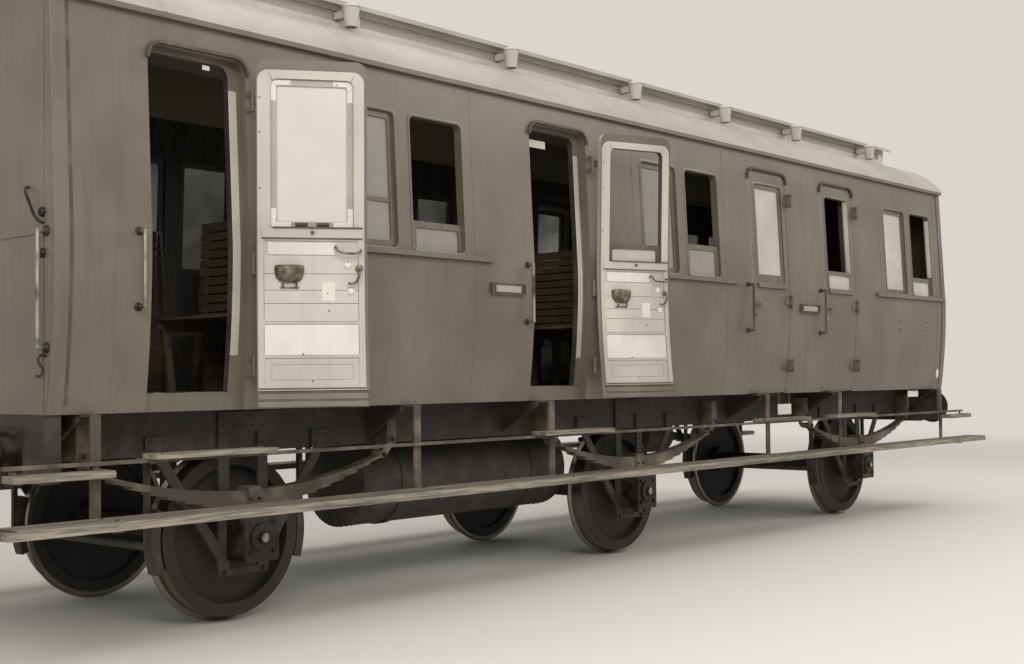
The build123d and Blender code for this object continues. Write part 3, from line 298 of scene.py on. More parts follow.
def add_lathe(bm, origin, direction, profile, sides=16):
    """Turned shape: profile as (distance along, radius) from the origin."""
    along = Vector(direction).normalized()
    across, upward = basis(along)
    turns = [2 * math.pi * i / sides for i in range(sides)]
    spokes = [across * math.cos(t) + upward * math.sin(t) for t in turns]
    loops = []
    for distance, radius in profile:
        centre = Vector(origin) + along * distance
        loops.append([centre + spoke * radius for spoke in spokes])
    bridge_solid(bm, loops)


def add_rivet(bm, at, normal, radius):
    """Low domed head."""
    dome = ((-0.001, radius), (radius * 0.35, radius * 0.85), (radius * 0.6, radius * 0.35))
    add_lathe(bm, at, normal, dome, 8)


def add_nut(bm, at, normal, radius):
    """Hexagonal nut with the end of its bolt."""
    nut = ((-0.001, radius), (radius * 0.7, radius), (radius * 0.8, radius * 0.9))
    bolt = ((0, radius * 0.5), (radius * 1.2, radius * 0.5), (radius * 1.3, radius * 0.4))
    add_lathe(bm, at, normal, nut, 6)
    add_lathe(bm, at, normal, bolt, 8)


def add_bent_rod(bm, points, radius, sides=10):
    """Round bar along a line of points."""
    points = [Vector(p) for p in points]
    turns = [2 * math.pi * k / sides for k in range(sides)]
    loops = []
    across = basis(points[1] - points[0])[0]
    for i, point in enumerate(points):
        ahead = points[min(i + 1, len(points) - 1)] - points[max(i - 1, 0)]
        along = ahead.normalized()
        across = (across - along * across.dot(along)).normalized()
        upward = along.cross(across)
        loops.append([point + (across * math.cos(t) + upward * math.sin(t)) * radius for t in turns])
    bridge_solid(bm, loops)


@contextmanager
def piece(name, kind, slot, bevel=0.0, body="coach", matrix=None):
    """Opens a mesh to build in, and closes it as a piece of a finish that rides on a body; slot is not used."""
    bm = bmesh.new()
    yield bm
    bmesh.ops.recalc_face_normals(bm, faces=bm.faces)
    if matrix is not None:
        bm.transform(matrix)
    mesh = bpy.data.meshes.new(name)
    bm.to_mesh(mesh)
    bm.free()
    mesh.materials.append(finish(kind))
    mesh.polygons.foreach_set("use_smooth", [True] * len(mesh.polygons))
    mesh.set_sharp_from_angle(angle=math.radians(38))
    obj = bpy.data.objects.new(name, mesh)
    bpy.context.scene.collection.objects.link(obj)
    if bevel:
        rounding = obj.modifiers.new("Rounded edges", "BEVEL")
        rounding.width = bevel
        rounding.segments = 2
        rounding.limit_method = "ANGLE"
        rounding.angle_limit = math.radians(50)
    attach(obj, body)


def paint(node, *kinds, chooser=None):
    """Gives a CAD node its finishes; chooser names one by a face's centre and normal."""
    mesh = frame["nodes"][node].data
    mesh.materials.clear()
    for kind in kinds:
        mesh.materials.append(finish(kind))
    for polygon in mesh.polygons:
        polygon.material_index = kinds.index(chooser(polygon.center, polygon.normal)) if chooser else 0


# Materials

def feed(tree, node, values):
    """Links a node's inputs to sockets, or to nodes by their first live output, and writes other values."""
    for name, value in values.items():
        if isinstance(value, bpy.types.Node):
            value = next(socket for socket in value.outputs if socket.enabled)
        if isinstance(value, bpy.types.NodeSocket):
            tree.links.new(value, node.inputs[name])
        else:
            node.inputs[name].default_value = value


def add(tree, kind, values=None, **settings):
    """Adds a shader node with its settings, input values and links."""
    node = tree.nodes.new("ShaderNode" + kind)
    for name, value in settings.items():
        setattr(node, name, value)
    feed(tree, node, values or {})
    return node


def new_material(name, **values):
    """Empty material with set values on its shader; gives material, tree, shader and place."""
    material = bpy.data.materials.new(name)
    material.use_nodes = True
    tree = material.node_tree
    shader = tree.nodes["Principled BSDF"]
    feed(tree, shader, {socket.replace("_", " "): value for socket, value in values.items()})
    return material, tree, shader, add(tree, "TexCoord").outputs["Object"]


def darker(colour, share):
    return [c * share for c in colour[:3]] + [1.0]


def blended(colour, other, share):
    return [a + (b - a) * share for a, b in zip(colour[:3], other[:3])] + [1.0]


ROAD_DUST = linear("6E6353")


def weathered_enamel(name, colour, fade, roughness, streak, dust, grain=14):
    """Brushed enamel: cloudy fading, rain streaks, and road dust that fades out between two heights."""
    material, tree, shader, place = new_material(name, Roughness=roughness, IOR=1.5, Coat_Weight=0.12,
                                                 Coat_Roughness=0.25)
    clouds = add(tree, "TexNoise", {"Vector": place, "Scale": per_mm(650), "Detail": 5.0})
    patch = add(tree, "MapRange", {"Value": clouds, "From Min": 0.4, "From Max": 0.68})
    base = add(tree, "Mix", {0: patch, 6: darker(colour, 0.92), 7: fade}, data_type="RGBA")
    stretch = add(tree, "Mapping", {"Vector": place, "Scale": (1.0, 1.0, 0.07)})
    rain = add(tree, "TexNoise", {"Vector": stretch, "Scale": per_mm(45), "Detail": 4.0})
    runs = add(tree, "MapRange", {"Value": rain, "From Min": 0.52, "From Max": 0.78, "To Max": streak})
    streaked = add(tree, "Mix", {0: runs, 6: base, 7: darker(colour, 0.55)}, data_type="RGBA")
    height = add(tree, "SeparateXYZ", {"Vector": place}).outputs["Z"]
    low = add(tree, "MapRange", {"Value": height, "From Min": dust[1], "From Max": dust[0], "To Max": 0.5})
    speckle = add(tree, "TexNoise", {"Vector": place, "Scale": per_mm(90), "Detail": 6.0})
    settled = add(tree, "Math", {0: low, 1: speckle}, operation="MULTIPLY")
    dusty = add(tree, "Mix", {0: settled, 6: streaked, 7: blended(colour, ROAD_DUST, 0.6)}, data_type="RGBA")
    sheen = add(tree, "MapRange", {"Value": clouds, "To Min": roughness - 0.08, "To Max": roughness + 0.16})
    # Brush marks and slight waves of the sheet
    brush = add(tree, "TexNoise", {"Vector": place, "Scale": per_mm(grain), "Detail": 3.0})
    wave = add(tree, "TexNoise", {"Vector": place, "Scale": per_mm(420), "Detail": 1.0})
    fine = add(tree, "Bump", {"Height": brush, "Strength": 0.12, "Distance": 0.0015})
    broad = add(tree, "Bump", {"Height": wave, "Strength": 0.25, "Distance": 0.012, "Normal": fine})
    feed(tree, shader, {"Base Color": dusty, "Roughness": sheen, "Normal": broad})
    return material


# Enamels by finish: name, colour as a property or a hex value, faded colour and its share, roughness,
# strength of the rain streaks, heights of full and no dust, and the brush's grain in mm
ENAMELS = {
    # Alkyd enamel brushed on steel sheet: dark, half glossy, paler where the sun has faded it
    "enamel": ("enamel_on_steel_sheet", "body", "857D70", 0.3, 0.4, 0.3, (1.25, 2.2), 14),
    # Cream alkyd enamel on wood, hand-worn and slightly yellowed: satin, with grey rubbed patches
    "inside": ("cream_enamel_on_wood", "inside", "C9C2B2", 0.7, 0.45, 0.22, (1.25, 1.9), 14),
    # White enamel on thin sheet, newer than the rest: bright and smooth, little wear
    "panel": ("white_enamel_on_sheet", "panel", "EDEBE4", 0.6, 0.4, 0.12, (1.2, 1.6), 14),
    # Cream enamel brushed on narrow boards: paler than the frame round them, satin, rubbed by knees
    "board": ("cream_enamel_on_boards", "board", "D9D2C4", 0.6, 0.45, 0.2, (1.3, 1.95), 14),
    # Grey enamel on a beech sash: satin, brushed, a little grimy where hands lift it
    "pale_sash": ("grey_enamel_on_beech", "9B958B", "ABA59B", 1.0, 0.42, 0.15, (2.2, 2.6), 14),
    # Brown grey enamel on oak posts: satin, brushed along the grain, knocked paler at the edges
    "drab": ("drab_enamel_on_oak", "drab", "8E8678", 0.4, 0.45, 0.3, (1.25, 1.9), 14),
    # Cream distemper on boards: matt and even, smoke-stained in clouds
    "ceiling": ("smoked_ceiling_paint", "ceiling", "8F8570", 0.3, 0.6, 0.15, (1.0, 1.1), 14),
    # Lead paint on canvas: pale matt grey, soot in clouds, rain runs, canvas grain under the paint
    "roof": ("lead_paint_on_canvas", "roof", "B9B4AA", 0.4, 0.62, 0.25, (3.3, 3.44), 9),
    # Pressed steel with stoved brown enamel, as small cabin fittings have: dark, satin, worn at the rim
    "brown": ("stoved_brown_enamel", "4A3B2F", "5C4B3C", 1.0, 0.35, 0.2, (1.0, 1.1), 14),
}


def enamel(kind, colours):
    name, colour, faded, share, *look = ENAMELS[kind]
    colour = getattr(colours, colour, None) or linear(colour)
    return weathered_enamel(name, colour, blended(colour, linear(faded), share), *look)


def lantern_paint(colours):
    # Lead paint on the lantern's boards and ventilators, in the lee of its eave: the roof's grey, painted paler
    # to offset the eave's shade
    eave_shade_lift = linear("C9C4BA")
    return weathered_enamel("washed_lead_paint_on_boards", blended(colours.roof, eave_shade_lift, 0.55),
                            blended(colours.roof, eave_shade_lift, 0.8), 0.65, 0.3, (3.6, 3.7), 9)


def dusty_black(name, paint_colour, dust_colour):
    """Black paint on rolled iron under dust, with rust coming through."""
    material, tree, shader, place = new_material(name, IOR=1.5)
    cloud = add(tree, "TexNoise", {"Vector": place, "Scale": per_mm(160), "Detail": 7.0})
    dust = add(tree, "MapRange", {"Value": cloud, "From Min": 0.45, "From Max": 0.72})
    base = add(tree, "Mix", {0: dust, 6: paint_colour, 7: dust_colour}, data_type="RGBA")
    spots = add(tree, "TexNoise", {"Vector": place, "Scale": per_mm(38), "Detail": 8.0})
    rust = add(tree, "MapRange", {"Value": spots, "From Min": 0.6, "From Max": 0.7, "To Max": 0.55})
    rusty = add(tree, "Mix", {0: rust, 6: base, 7: linear("54402F")}, data_type="RGBA")
    dull = add(tree, "MapRange", {"Value": cloud, "To Min": 0.5, "To Max": 0.85})
    bump = add(tree, "Bump", {"Height": spots, "Strength": 0.35, "Distance": 0.003})
    feed(tree, shader, {"Base Color": rusty, "Roughness": dull, "Normal": bump})
    return material


def underframe_paint(colours):
    # Bitumen paint under brake dust: near black, dull, with rust coming through in small patches
    return dusty_black("bitumen_paint_with_brake_dust", colours.frame, linear("484139"))


def soot_and_shade_paint(colours):
    # Coach enamel under soot that runs down from the roof, and painted shade on door heads, plate holders,
    # corner shade lines and the leaves' low bands: dark brown, dull
    return dusty_black("sooty_enamel_on_sheet_iron", linear("443E35"), linear("625A4D"))


def step_rail_paint(colours):
    # Bitumen paint under trodden road dust: brown grey, dull, rubbed through by boots
    return dusty_black("bitumen_paint_with_road_dust", linear("453E34"), linear("756B5B"))


def cast_iron(colours):
    # Sand-cast iron, oily: dark brown grey, grainy, wet where oil has crept
    material, tree, shader, place = new_material("oily_cast_iron", Metallic=0.45)
    film = add(tree, "TexNoise", {"Vector": place, "Scale": per_mm(120), "Detail": 5.0})
    oil = add(tree, "MapRange", {"Value": film, "From Min": 0.42, "From Max": 0.6})
    base = add(tree, "Mix", {0: oil, 6: colours.iron, 7: linear("1F1B17")}, data_type="RGBA")
    wet = add(tree, "MapRange", {"Value": oil, "To Min": 0.72, "To Max": 0.36})
    sand = add(tree, "TexNoise", {"Vector": place, "Scale": per_mm(6), "Detail": 4.0})
    bump = add(tree, "Bump", {"Height": sand, "Strength": 0.4, "Distance": 0.0015})
    feed(tree, shader, {"Base Color": base, "Roughness": wet, "Normal": bump})
    return material


def wheel_steel(colours):
    # Rolled steel: brown rust and grime on the disc, a bright worn band on the tread and flange
    material, tree, shader, place = new_material("rolled_steel_with_worn_tread")
    lowered = add(tree, "Mapping", {"Vector": place, "Location": (0, 0, -AXLE_Z)})
    parts = add(tree, "SeparateXYZ", {"Vector": lowered})
    # Distance from the nearest axle's centre line: axles stand evenly along X
    half_gap = (AXLES[1] - AXLES[0]) / 2
    spaced = add(tree, "Math", {0: parts.outputs["X"], 1: -half_gap, 2: half_gap}, operation="WRAP")
    flat = add(tree, "CombineXYZ", {"X": spaced, "Z": parts.outputs["Z"]})
    radius = add(tree, "VectorMath", {0: flat}, operation="LENGTH")
    outer = add(tree, "MapRange", {"Value": radius, "From Min": 0.486, "From Max": 0.493})
    aside = add(tree, "Math", {0: parts.outputs["Y"]}, operation="ABSOLUTE")
    running = add(tree, "MapRange", {"Value": aside, "From Min": 0.812, "From Max": 0.806})
    tread = add(tree, "Math", {0: outer, 1: running}, operation="MULTIPLY")
    grime = add(tree, "TexNoise", {"Vector": place, "Scale": per_mm(110), "Detail": 7.0})
    spread = add(tree, "MapRange", {"Value": grime, "From Min": 0.35, "From Max": 0.7})
    rust = add(tree, "Mix", {0: spread, 6: colours.wheel, 7: linear("2A2521")}, data_type="RGBA")
    base = add(tree, "Mix", {0: tread, 6: rust, 7: linear("7D776E")}, data_type="RGBA")
    polish = add(tree, "MapRange", {"Value": tread, "To Min": 0.75, "To Max": 0.28})
    bump = add(tree, "Bump", {"Height": grime, "Strength": 0.2, "Distance": 0.003})
    feed(tree, shader, {"Base Color": base, "Metallic": tread, "Roughness": polish, "Normal": bump})
    return material


def worn_iron(colours):
    # Painted iron bar, rubbed by hands: black paint with bright steel showing in long patches
    material, tree, shader, place = new_material("hand_worn_iron_bar")
    rub = add(tree, "TexNoise", {"Vector": place, "Scale": per_mm(140), "Detail": 5.0})
    bare = add(tree, "MapRange", {"Value": rub, "From Min": 0.38, "From Max": 0.55})
    base = add(tree, "Mix", {0: bare, 6: linear("37322C"), 7: linear("A49E93")}, data_type="RGBA")
    gloss = add(tree, "MapRange", {"Value": bare, "To Min": 0.6, "To Max": 0.33})
    feed(tree, shader, {"Base Color": base, "Metallic": bare, "Roughness": gloss})
    return material


def sawn_wood(name, dark, light, roughness, board_mm, upright=False, coat=0.0):
    """Sawn boards: long grain along X, or upright, board to board tone, open cracks."""
    material, tree, shader, place = new_material(name, IOR=1.5, Coat_Weight=coat, Coat_Roughness=0.2)
    stretch = (1.0, 1.0, 0.045) if upright else (0.045, 1.0, 1.0)
    laid = add(tree, "Mapping", {"Vector": place, "Scale": stretch})
    grain = add(tree, "TexNoise", {"Vector": laid, "Scale": per_mm(9), "Detail": 8.0, "Distortion": 0.6})
    years = add(tree, "TexNoise", {"Vector": laid, "Scale": per_mm(board_mm), "Detail": 2.0})
    tone = add(tree, "Math", {0: grain, 1: years}, operation="MULTIPLY")
    share = add(tree, "MapRange", {"Value": tone, "From Min": 0.14, "From Max": 0.4})
    base = add(tree, "Mix", {0: share, 6: dark, 7: light}, data_type="RGBA")
    rough = add(tree, "MapRange", {"Value": grain, "To Min": roughness - 0.08, "To Max": roughness + 0.12})
    bump = add(tree, "Bump", {"Height": grain, "Strength": 0.5, "Distance": 0.003})
    feed(tree, shader, {"Base Color": base, "Roughness": rough, "Normal": bump})
    return material


def footboard_wood(colours):
    # Two oak planks side by side, sawn and left bare: grey, greasy and darker than the upper steps
    return sawn_wood("weathered_oak_footboard", darker(colours.step, 0.26),
                     blended(colours.step, linear("A2988A"), 0.4), 0.75, 70)


def step_wood(colours):
    # Oak planks, sawn and left bare: silver grey, rough, dark open grain
    return sawn_wood("weathered_oak_planks", darker(colours.step, 0.32),
                     blended(colours.step, linear("B3A996"), 0.5), 0.8, 60)


def bench_wood(colours):
    # Ash slats under spirit varnish: warm brown, glossy, fine long grain
    return sawn_wood("varnished_ash_slats", darker(colours.bench, 0.5), colours.bench, 0.34, 50, coat=0.35)


def lining_wood(colours):
    # Pine boards under old varnish: brown, satin, upright grain
    return sawn_wood("varnished_pine_boards", darker(colours.lining, 0.45), colours.lining, 0.42, 70,
                     upright=True, coat=0.25)


def floor_wood(colours):
    # Pine floor boards, scrubbed: dull, dirty grain
    return sawn_wood("scrubbed_floor_boards", linear("3B3127"), linear("6D5E4B"), 0.78, 90)


def sash_wood(colours):
    # Teak sashes, oiled: dark brown, satin, upright grain
    return sawn_wood("oiled_teak_sash", darker(colours.sash, 0.55), colours.sash, 0.4, 60,
                     upright=True, coat=0.2)


def filmed_glass(name, film_colour, thin, thick, roughness):
    """Window glass under a pale film, dust and a painted reflection of the sky, that lets part of the light
    through.
    """
    material, tree, shader, place = new_material(name, Roughness=roughness, IOR=1.5, Base_Color=film_colour)
    cloud = add(tree, "TexNoise", {"Vector": place, "Scale": per_mm(420), "Detail": 4.0})
    film = add(tree, "MapRange", {"Value": cloud, "From Min": 0.3, "From Max": 0.7,
                                  "To Min": thin, "To Max": thick})
    feed(tree, shader, {"Alpha": film})
    return material


def dusty_glass_with_painted_reflection(colours):
    # Float glass never cleaned: a pale cloudy film, dust and a painted reflection of the bright sky, with the
    # room just showing through, glossy where it is thin
    return filmed_glass("dusty_window_glass", colours.glass_dust_and_reflection, 0.60, 0.86, 0.1)


def shaded_glass(colours):
    # The same glass on the panes left of the middle, its film painted darker as painted shade: as glossy
    return filmed_glass("grey_dusty_window_glass", darker(colours.glass_dust_and_reflection, 0.54), 0.68, 0.88, 0.1)


def sky_reflecting_glass(colours):
    # Float glass with the sun on it, under a thick pale film: dust and a painted reflection of the sky, nearly
    # white, satin
    return filmed_glass("limed_window_glass", linear("D3CEC4"), 0.84, 0.97, 0.18)


def lantern_glass(colours):
    # Ribbed lantern glass painted pale and dull like the lantern's lightened boards, with faint grey streaks
    # down
    material, tree, shader, place = new_material("whitewashed_lantern_glass", Roughness=0.65, IOR=1.5)
    down = add(tree, "Mapping", {"Vector": place, "Scale": (1.0, 1.0, 0.08)})
    streak = add(tree, "TexNoise", {"Vector": down, "Scale": per_mm(60), "Detail": 4.0})
    base = add(tree, "Mix", {0: streak, 6: linear("8D887E"), 7: linear("A8A399")}, data_type="RGBA")
    feed(tree, shader, {"Base Color": base})
    return material


def blank_plate(colours):
    # Vitreous enamel on steel: pale, glossy, chipped dark at random spots
    material, tree, shader, place = new_material("vitreous_enamel_plate", Roughness=0.25, IOR=1.5)
    chips = add(tree, "TexNoise", {"Vector": place, "Scale": per_mm(22), "Detail": 5.0})
    bare = add(tree, "MapRange", {"Value": chips, "From Min": 0.66, "From Max": 0.7})
    base = add(tree, "Mix", {0: bare, 6: colours.plate, 7: linear("4A4038")}, data_type="RGBA")
    feed(tree, shader, {"Base Color": base})
    return material


def dull_bronze(colours):
    # Cast bronze, years unpolished: grey brown skin, rubbed a little brighter in patches by hands
    material, tree, shader, place = new_material("unpolished_cast_bronze", Metallic=0.7)
    rub = add(tree, "TexNoise", {"Vector": place, "Scale": per_mm(45), "Detail": 5.0})
    bright = add(tree, "MapRange", {"Value": rub, "From Min": 0.42, "From Max": 0.64})
    base = add(tree, "Mix", {0: bright, 6: linear("5B5344"), 7: linear("877C68")}, data_type="RGBA")
    gloss = add(tree, "MapRange", {"Value": bright, "To Min": 0.6, "To Max": 0.38})
    feed(tree, shader, {"Base Color": base, "Roughness": gloss})
    return material


FLOOR_FADE = (9.0, 26.0)


def seen_directly(tree):
    """One where the camera, a reflection or a pane looks straight at the backdrop, else nothing."""
    path = add(tree, "LightPath").outputs
    seen = add(tree, "Math", {0: path["Is Camera Ray"], 1: path["Is Glossy Ray"]}, operation="MAXIMUM")
    return add(tree, "Math", {0: seen, 1: path["Is Transmission Ray"]}, operation="MAXIMUM")


def studio_floor(colours):
    # Matt painted studio floor: pale and even, it keeps the coach's shadow and fades into the backdrop
    material, tree, shader, place = new_material("matt_studio_floor", Roughness=0.9)
    mottle = add(tree, "TexNoise", {"Vector": place, "Scale": per_mm(900), "Detail": 3.0})
    tone = add(tree, "MapRange", {"Value": mottle, "To Min": 0.93, "To Max": 1.0})
    base = add(tree, "Mix", {0: tone, 6: darker(colours.floor, 0.9), 7: colours.floor}, data_type="RGBA")
    feed(tree, shader, {"Base Color": base})
    distance = add(tree, "VectorMath", {0: place}, operation="LENGTH")
    far = add(tree, "MapRange", {"Value": distance, "From Min": FLOOR_FADE[0], "From Max": FLOOR_FADE[1]},
              interpolation_type="SMOOTHSTEP")
    share = add(tree, "Math", {0: far, 1: seen_directly(tree)}, operation="MULTIPLY")
    glow = add(tree, "Emission", {"Color": colours.floor, "Strength": 1.0})
    mixed = add(tree, "MixShader", {0: share, 1: shader, 2: glow})
    feed(tree, tree.nodes["Material Output"], {"Surface": mixed})
    return material


FINISHES = {
    "lantern_side": lantern_paint,
    "frame": underframe_paint,
    "step_rail": step_rail_paint,
    "soot_and_shade": soot_and_shade_paint,
    "iron": cast_iron,
    "wheel": wheel_steel,
    "worn_iron": worn_iron,
    "step": step_wood,
    "footboard": footboard_wood,
    "bench": bench_wood,
    "lining": lining_wood,
    "floor": floor_wood,
    "sash": sash_wood,
    "glass": dusty_glass_with_painted_reflection,
    "shaded_glass": shaded_glass,
    "sky_reflecting_glass": sky_reflecting_glass,
    "lantern_glass": lantern_glass,
    "plate": blank_plate,
    "bronze": dull_bronze,
    "studio": studio_floor,
}

made_materials = {}


def finish(kind):
    """The material of a finish, made once."""
    if kind not in made_materials:
        colours = bpy.context.scene.coach_colours
        made_materials[kind] = enamel(kind, colours) if kind in ENAMELS else FINISHES[kind](colours)
    return made_materials[kind]


# Stage

CAMERA_PLACE = (-8.823, -7.406, 1.449)
CAMERA_YAW = 41.548
CAMERA_PITCH = 1.893
CAMERA_ROLL = -0.626
CAMERA_LENS = 46.58
SENSOR = 36.0
IMAGE_WIDTH = 1024
CAMERA_SHIFT = (6 / IMAGE_WIDTH, 3 / IMAGE_WIDTH)
FLOOR_RADIUS = 60.0

# Lamps: place, target, width and height, power, colour
LAMPS = {
    "Key": ((-9.5, -10.5, 8.8), (0, 0, 1.8), (9, 6), 1000, "FFFEFB"),
    "Fill": ((9.0, -8.0, 9.5), (1, 0, 1.8), (8, 5), 620, "FFFCF7"),
    "Top": ((0, 2.0, 11.0), (0, 0, 2.0), (12, 6), 450, "FFFEFB"),
    "End": ((-14.0, -4.0, 5.0), (-5.4, 0, 2.0), (5, 4), 150, "FFFDF9"),
}


def place_object(name, data):
    """Object that holds the data, linked to the scene."""
    obj = bpy.data.objects.new(name, data)
    bpy.context.scene.collection.objects.link(obj)
    return obj


def make_floor():
    bm = bmesh.new()
    bmesh.ops.create_circle(bm, cap_ends=True, segments=96, radius=FLOOR_RADIUS)
    mesh = bpy.data.meshes.new("studio_floor")
    bm.to_mesh(mesh)
    bm.free()
    mesh.materials.append(finish("studio"))
    place_object("studio_floor", mesh)


def make_world(colours):
    """Even pale light, and the backdrop's colour where it is seen."""
    world = bpy.data.worlds.new("Studio")
    bpy.context.scene.world = world
    world.use_nodes = True
    tree = world.node_tree
    light = tree.nodes["Background"]
    feed(tree, light, {"Color": linear("F4F3F0"), "Strength": 0.62})
    backdrop = add(tree, "Background", {"Color": colours.floor, "Strength": 1.0})
    mixed = add(tree, "MixShader", {0: seen_directly(tree), 1: light, 2: backdrop})
    feed(tree, tree.nodes["World Output"], {"Surface": mixed})


def make_lamp(name, place, target, size, power, colour):
    data = bpy.data.lights.new(name, "AREA")
    data.shape = "RECTANGLE"
    data.size, data.size_y = size
    data.energy = power
    data.color = linear(colour)[:3]
    lamp = place_object(name, data)
    lamp.location = place
    lamp.rotation_euler = (Vector(target) - Vector(place)).to_track_quat("-Z", "Y").to_euler()


def make_camera():
    yaw, pitch, roll = (math.radians(a) for a in (CAMERA_YAW, CAMERA_PITCH, CAMERA_ROLL))
    forward = Vector((math.cos(pitch) * math.cos(yaw), math.cos(pitch) * math.sin(yaw), math.sin(pitch)))
    level = Vector((math.sin(yaw), -math.cos(yaw), 0))
    upright = level.cross(forward)
    right = level * math.cos(roll) + upright * math.sin(roll)
    up = upright * math.cos(roll) - level * math.sin(roll)
    data = bpy.data.cameras.new("Camera")
    data.lens = CAMERA_LENS
    data.sensor_width = SENSOR
    data.shift_x, data.shift_y = CAMERA_SHIFT
    data.clip_end = 500
    camera = place_object("Camera", data)
    turned = Matrix((right, up, -forward)).transposed().to_4x4()
    camera.matrix_world = Matrix.Translation(CAMERA_PLACE) @ turned
    bpy.context.scene.camera = camera


class COACH_OT_stage(bpy.types.Operator):
    """Set up the floor, the backdrop, the soft lights and the camera"""

    bl_idname = "coach.stage"
    bl_label = "Stage"

    def execute(self, context):
        make_floor()
        make_world(context.scene.coach_colours)
        for name, lamp in LAMPS.items():
            make_lamp(name, *lamp)
        make_camera()
        context.scene.view_settings.view_transform = "Standard"
        return {"FINISHED"}


# Body shell

CORNER_STRIP = (5.285, 5.372)
# Painted shadow line beside each corner strip, along the coach
CORNER_SHADE_LINE = (5.262, 5.284)
STRIP_TOP = CORNICE_Z - 0.035
SILL_STRIP_HIGH = 0.045
SILL_RIVET_RISE = 0.022
SEAM_FROM_PAIR = 0.66
SEAM_HALF = 0.013
SIDE_SEAMS = (2.285, 3.330, -5.000)
BOLT_WINDOWS = (4.240, 4.880)
BOLT_HEIGHTS = (2.005, 1.918)
TRIM_SINK = -0.002
MOULDING_WIDTH = 0.020
BATTEN_PLACES = (-1.215, -0.42, 0.42, 1.215)
BATTEN_HALF = 0.02
END_RIVETS = (-1.0, -0.8, -0.6, -0.2, 0.0, 0.2, 0.6, 0.8, 1.0)


def wall_chooser(axis, sign):
    """Lining on the faces that look inwards along an axis, enamel on the rest of a wall."""
    return lambda centre, normal: "lining" if normal[axis] * sign < -0.5 else "enamel"


def along(side, *places):
    """Places along the coach as seen by a piece that is made for the near side, low to high."""
    return tuple(sorted(-SIDES[side] * x for x in places))


def mirrored(span):
    """A span along the coach and its mirror image, each low to high."""
    return [sorted(sign * x for x in span) for sign in (-1, 1)]


class COACH_OT_body(bpy.types.Operator):
    """Paint the sides and ends, and add their mouldings, cover strips and rivets"""

    bl_idname = "coach.body"
    bl_label = "Body shell"

    def execute(self, context):
        sizes = context.scene.coach_sizes
        for side, sign in SIDES.items():
            paint(f"side_wall_{side}", "enamel", "lining", chooser=wall_chooser(1, sign))
            self.dress_side(side, sizes)
        for end, sign in ENDS.items():
            paint(f"end_wall_{end}", "enamel", "lining", chooser=wall_chooser(0, sign))
            self.dress_end(end, sign, sizes)
        return {"FINISHED"}

    def dress_side(self, side, sizes):
        matrix = side_matrix(side)
        proud = sizes.trim * 0.7

        def part(name, bevel=0.0, kind="enamel"):
            return piece(f"{name}_{side}", kind, "body_paint", bevel, matrix=matrix)

        with part("corner_strips", 0.0025) as bm:
            for x in mirrored(CORNER_STRIP):
                add_side_strip(bm, x, (SILL_Z, STRIP_TOP), (TRIM_SINK, sizes.trim))
        # Thin dark strip beside each corner strip: a painted shadow of the strip
        with part("corner_grooves", kind="soot_and_shade") as bm:
            for x in mirrored(CORNER_SHADE_LINE):
                add_side_strip(bm, x, (SILL_Z, STRIP_TOP), (TRIM_SINK, 0.0012))
        # Rounded moulding round each window
        with part("window_mouldings") as bm:
            outline = rounded(WINDOW_HALF, WINDOW_LOW, WINDOW_HIGH, WINDOW_CORNER)
            for pair, offset in product(WINDOW_PAIRS, (-WINDOW_OFFSET, WINDOW_OFFSET)):
                x = along(side, pair + offset)[0]
                add_side_ring(bm, outline, MOULDING_WIDTH, (TRIM_SINK, proud), x)
        # Riveted strip along the sill, broken at the doors
        edges = [-SHELL_X]
        for number in DOOR_NUMBERS:
            edges += [door_centre(number) - DOORWAY_HALF, door_centre(number) + DOORWAY_HALF]
        edges.append(SHELL_X)
        spans = [along(side, *span) for span in zip(edges[::2], edges[1::2])]
        with part("sill_strips", 0.002) as bm:
            for span in spans:
                add_side_strip(bm, span, (SILL_Z, SILL_Z + SILL_STRIP_HIGH), (TRIM_SINK, proud))
        with part("sill_rivets") as bm:
            z = SILL_Z + SILL_RIVET_RISE
            for low, high in spans:
                count = max(1, round((high - low) / sizes.rivet_spacing))
                for i in range(count):
                    x = low + (i + 0.5) * (high - low) / count
                    add_rivet(bm, (x, -(face_at(z) + proud), z), OUTWARD, sizes.rivet * 0.7)
        # Cover strips over the joints of the sheets
        with part("panel_seams", 0.0008) as bm:
            seams = [pair + offset for pair in WINDOW_PAIRS for offset in (-SEAM_FROM_PAIR, SEAM_FROM_PAIR)]
            for x in along(side, *seams, *SIDE_SEAMS):
                add_side_strip(bm, (x - SEAM_HALF, x + SEAM_HALF), (SILL_Z + SILL_STRIP_HIGH, STRIP_TOP),
                               (TRIM_SINK, 0.0018))
        with part("window_bolts", kind="frame") as bm:
            for x, z in product(along(side, *BOLT_WINDOWS), BOLT_HEIGHTS):
                add_rivet(bm, (x, -face_at(z), z), OUTWARD, 0.011)

    def dress_end(self, end, sign, sizes):
        place = dict(slot="body_paint", matrix=end_matrix(sign))
        back = END_X - 0.002
        with piece(f"end_battens_{end}", "enamel", bevel=0.002, **place) as bm:
            for y in BATTEN_PLACES:
                add_block(bm, (back, y - BATTEN_HALF, SILL_Z + 0.05),
                          (END_X + 0.005, y + BATTEN_HALF, CORNICE_Z - 0.02))
            half = face_at(SILL_Z) - 0.02
            add_block(bm, (back, -half, SILL_Z + 0.002), (END_X + 0.007, half, SILL_Z + 0.05))
            add_block(bm, (back, -1.235, WAIST_Z - BATTEN_HALF), (END_X + 0.006, 1.235, WAIST_Z + BATTEN_HALF))
        with piece(f"end_rivets_{end}", "enamel", **place) as bm:
            for y in END_RIVETS:
                add_rivet(bm, (END_X + 0.007, y, SILL_Z + 0.025), ENDWARD, sizes.rivet * 0.8)


# Doors

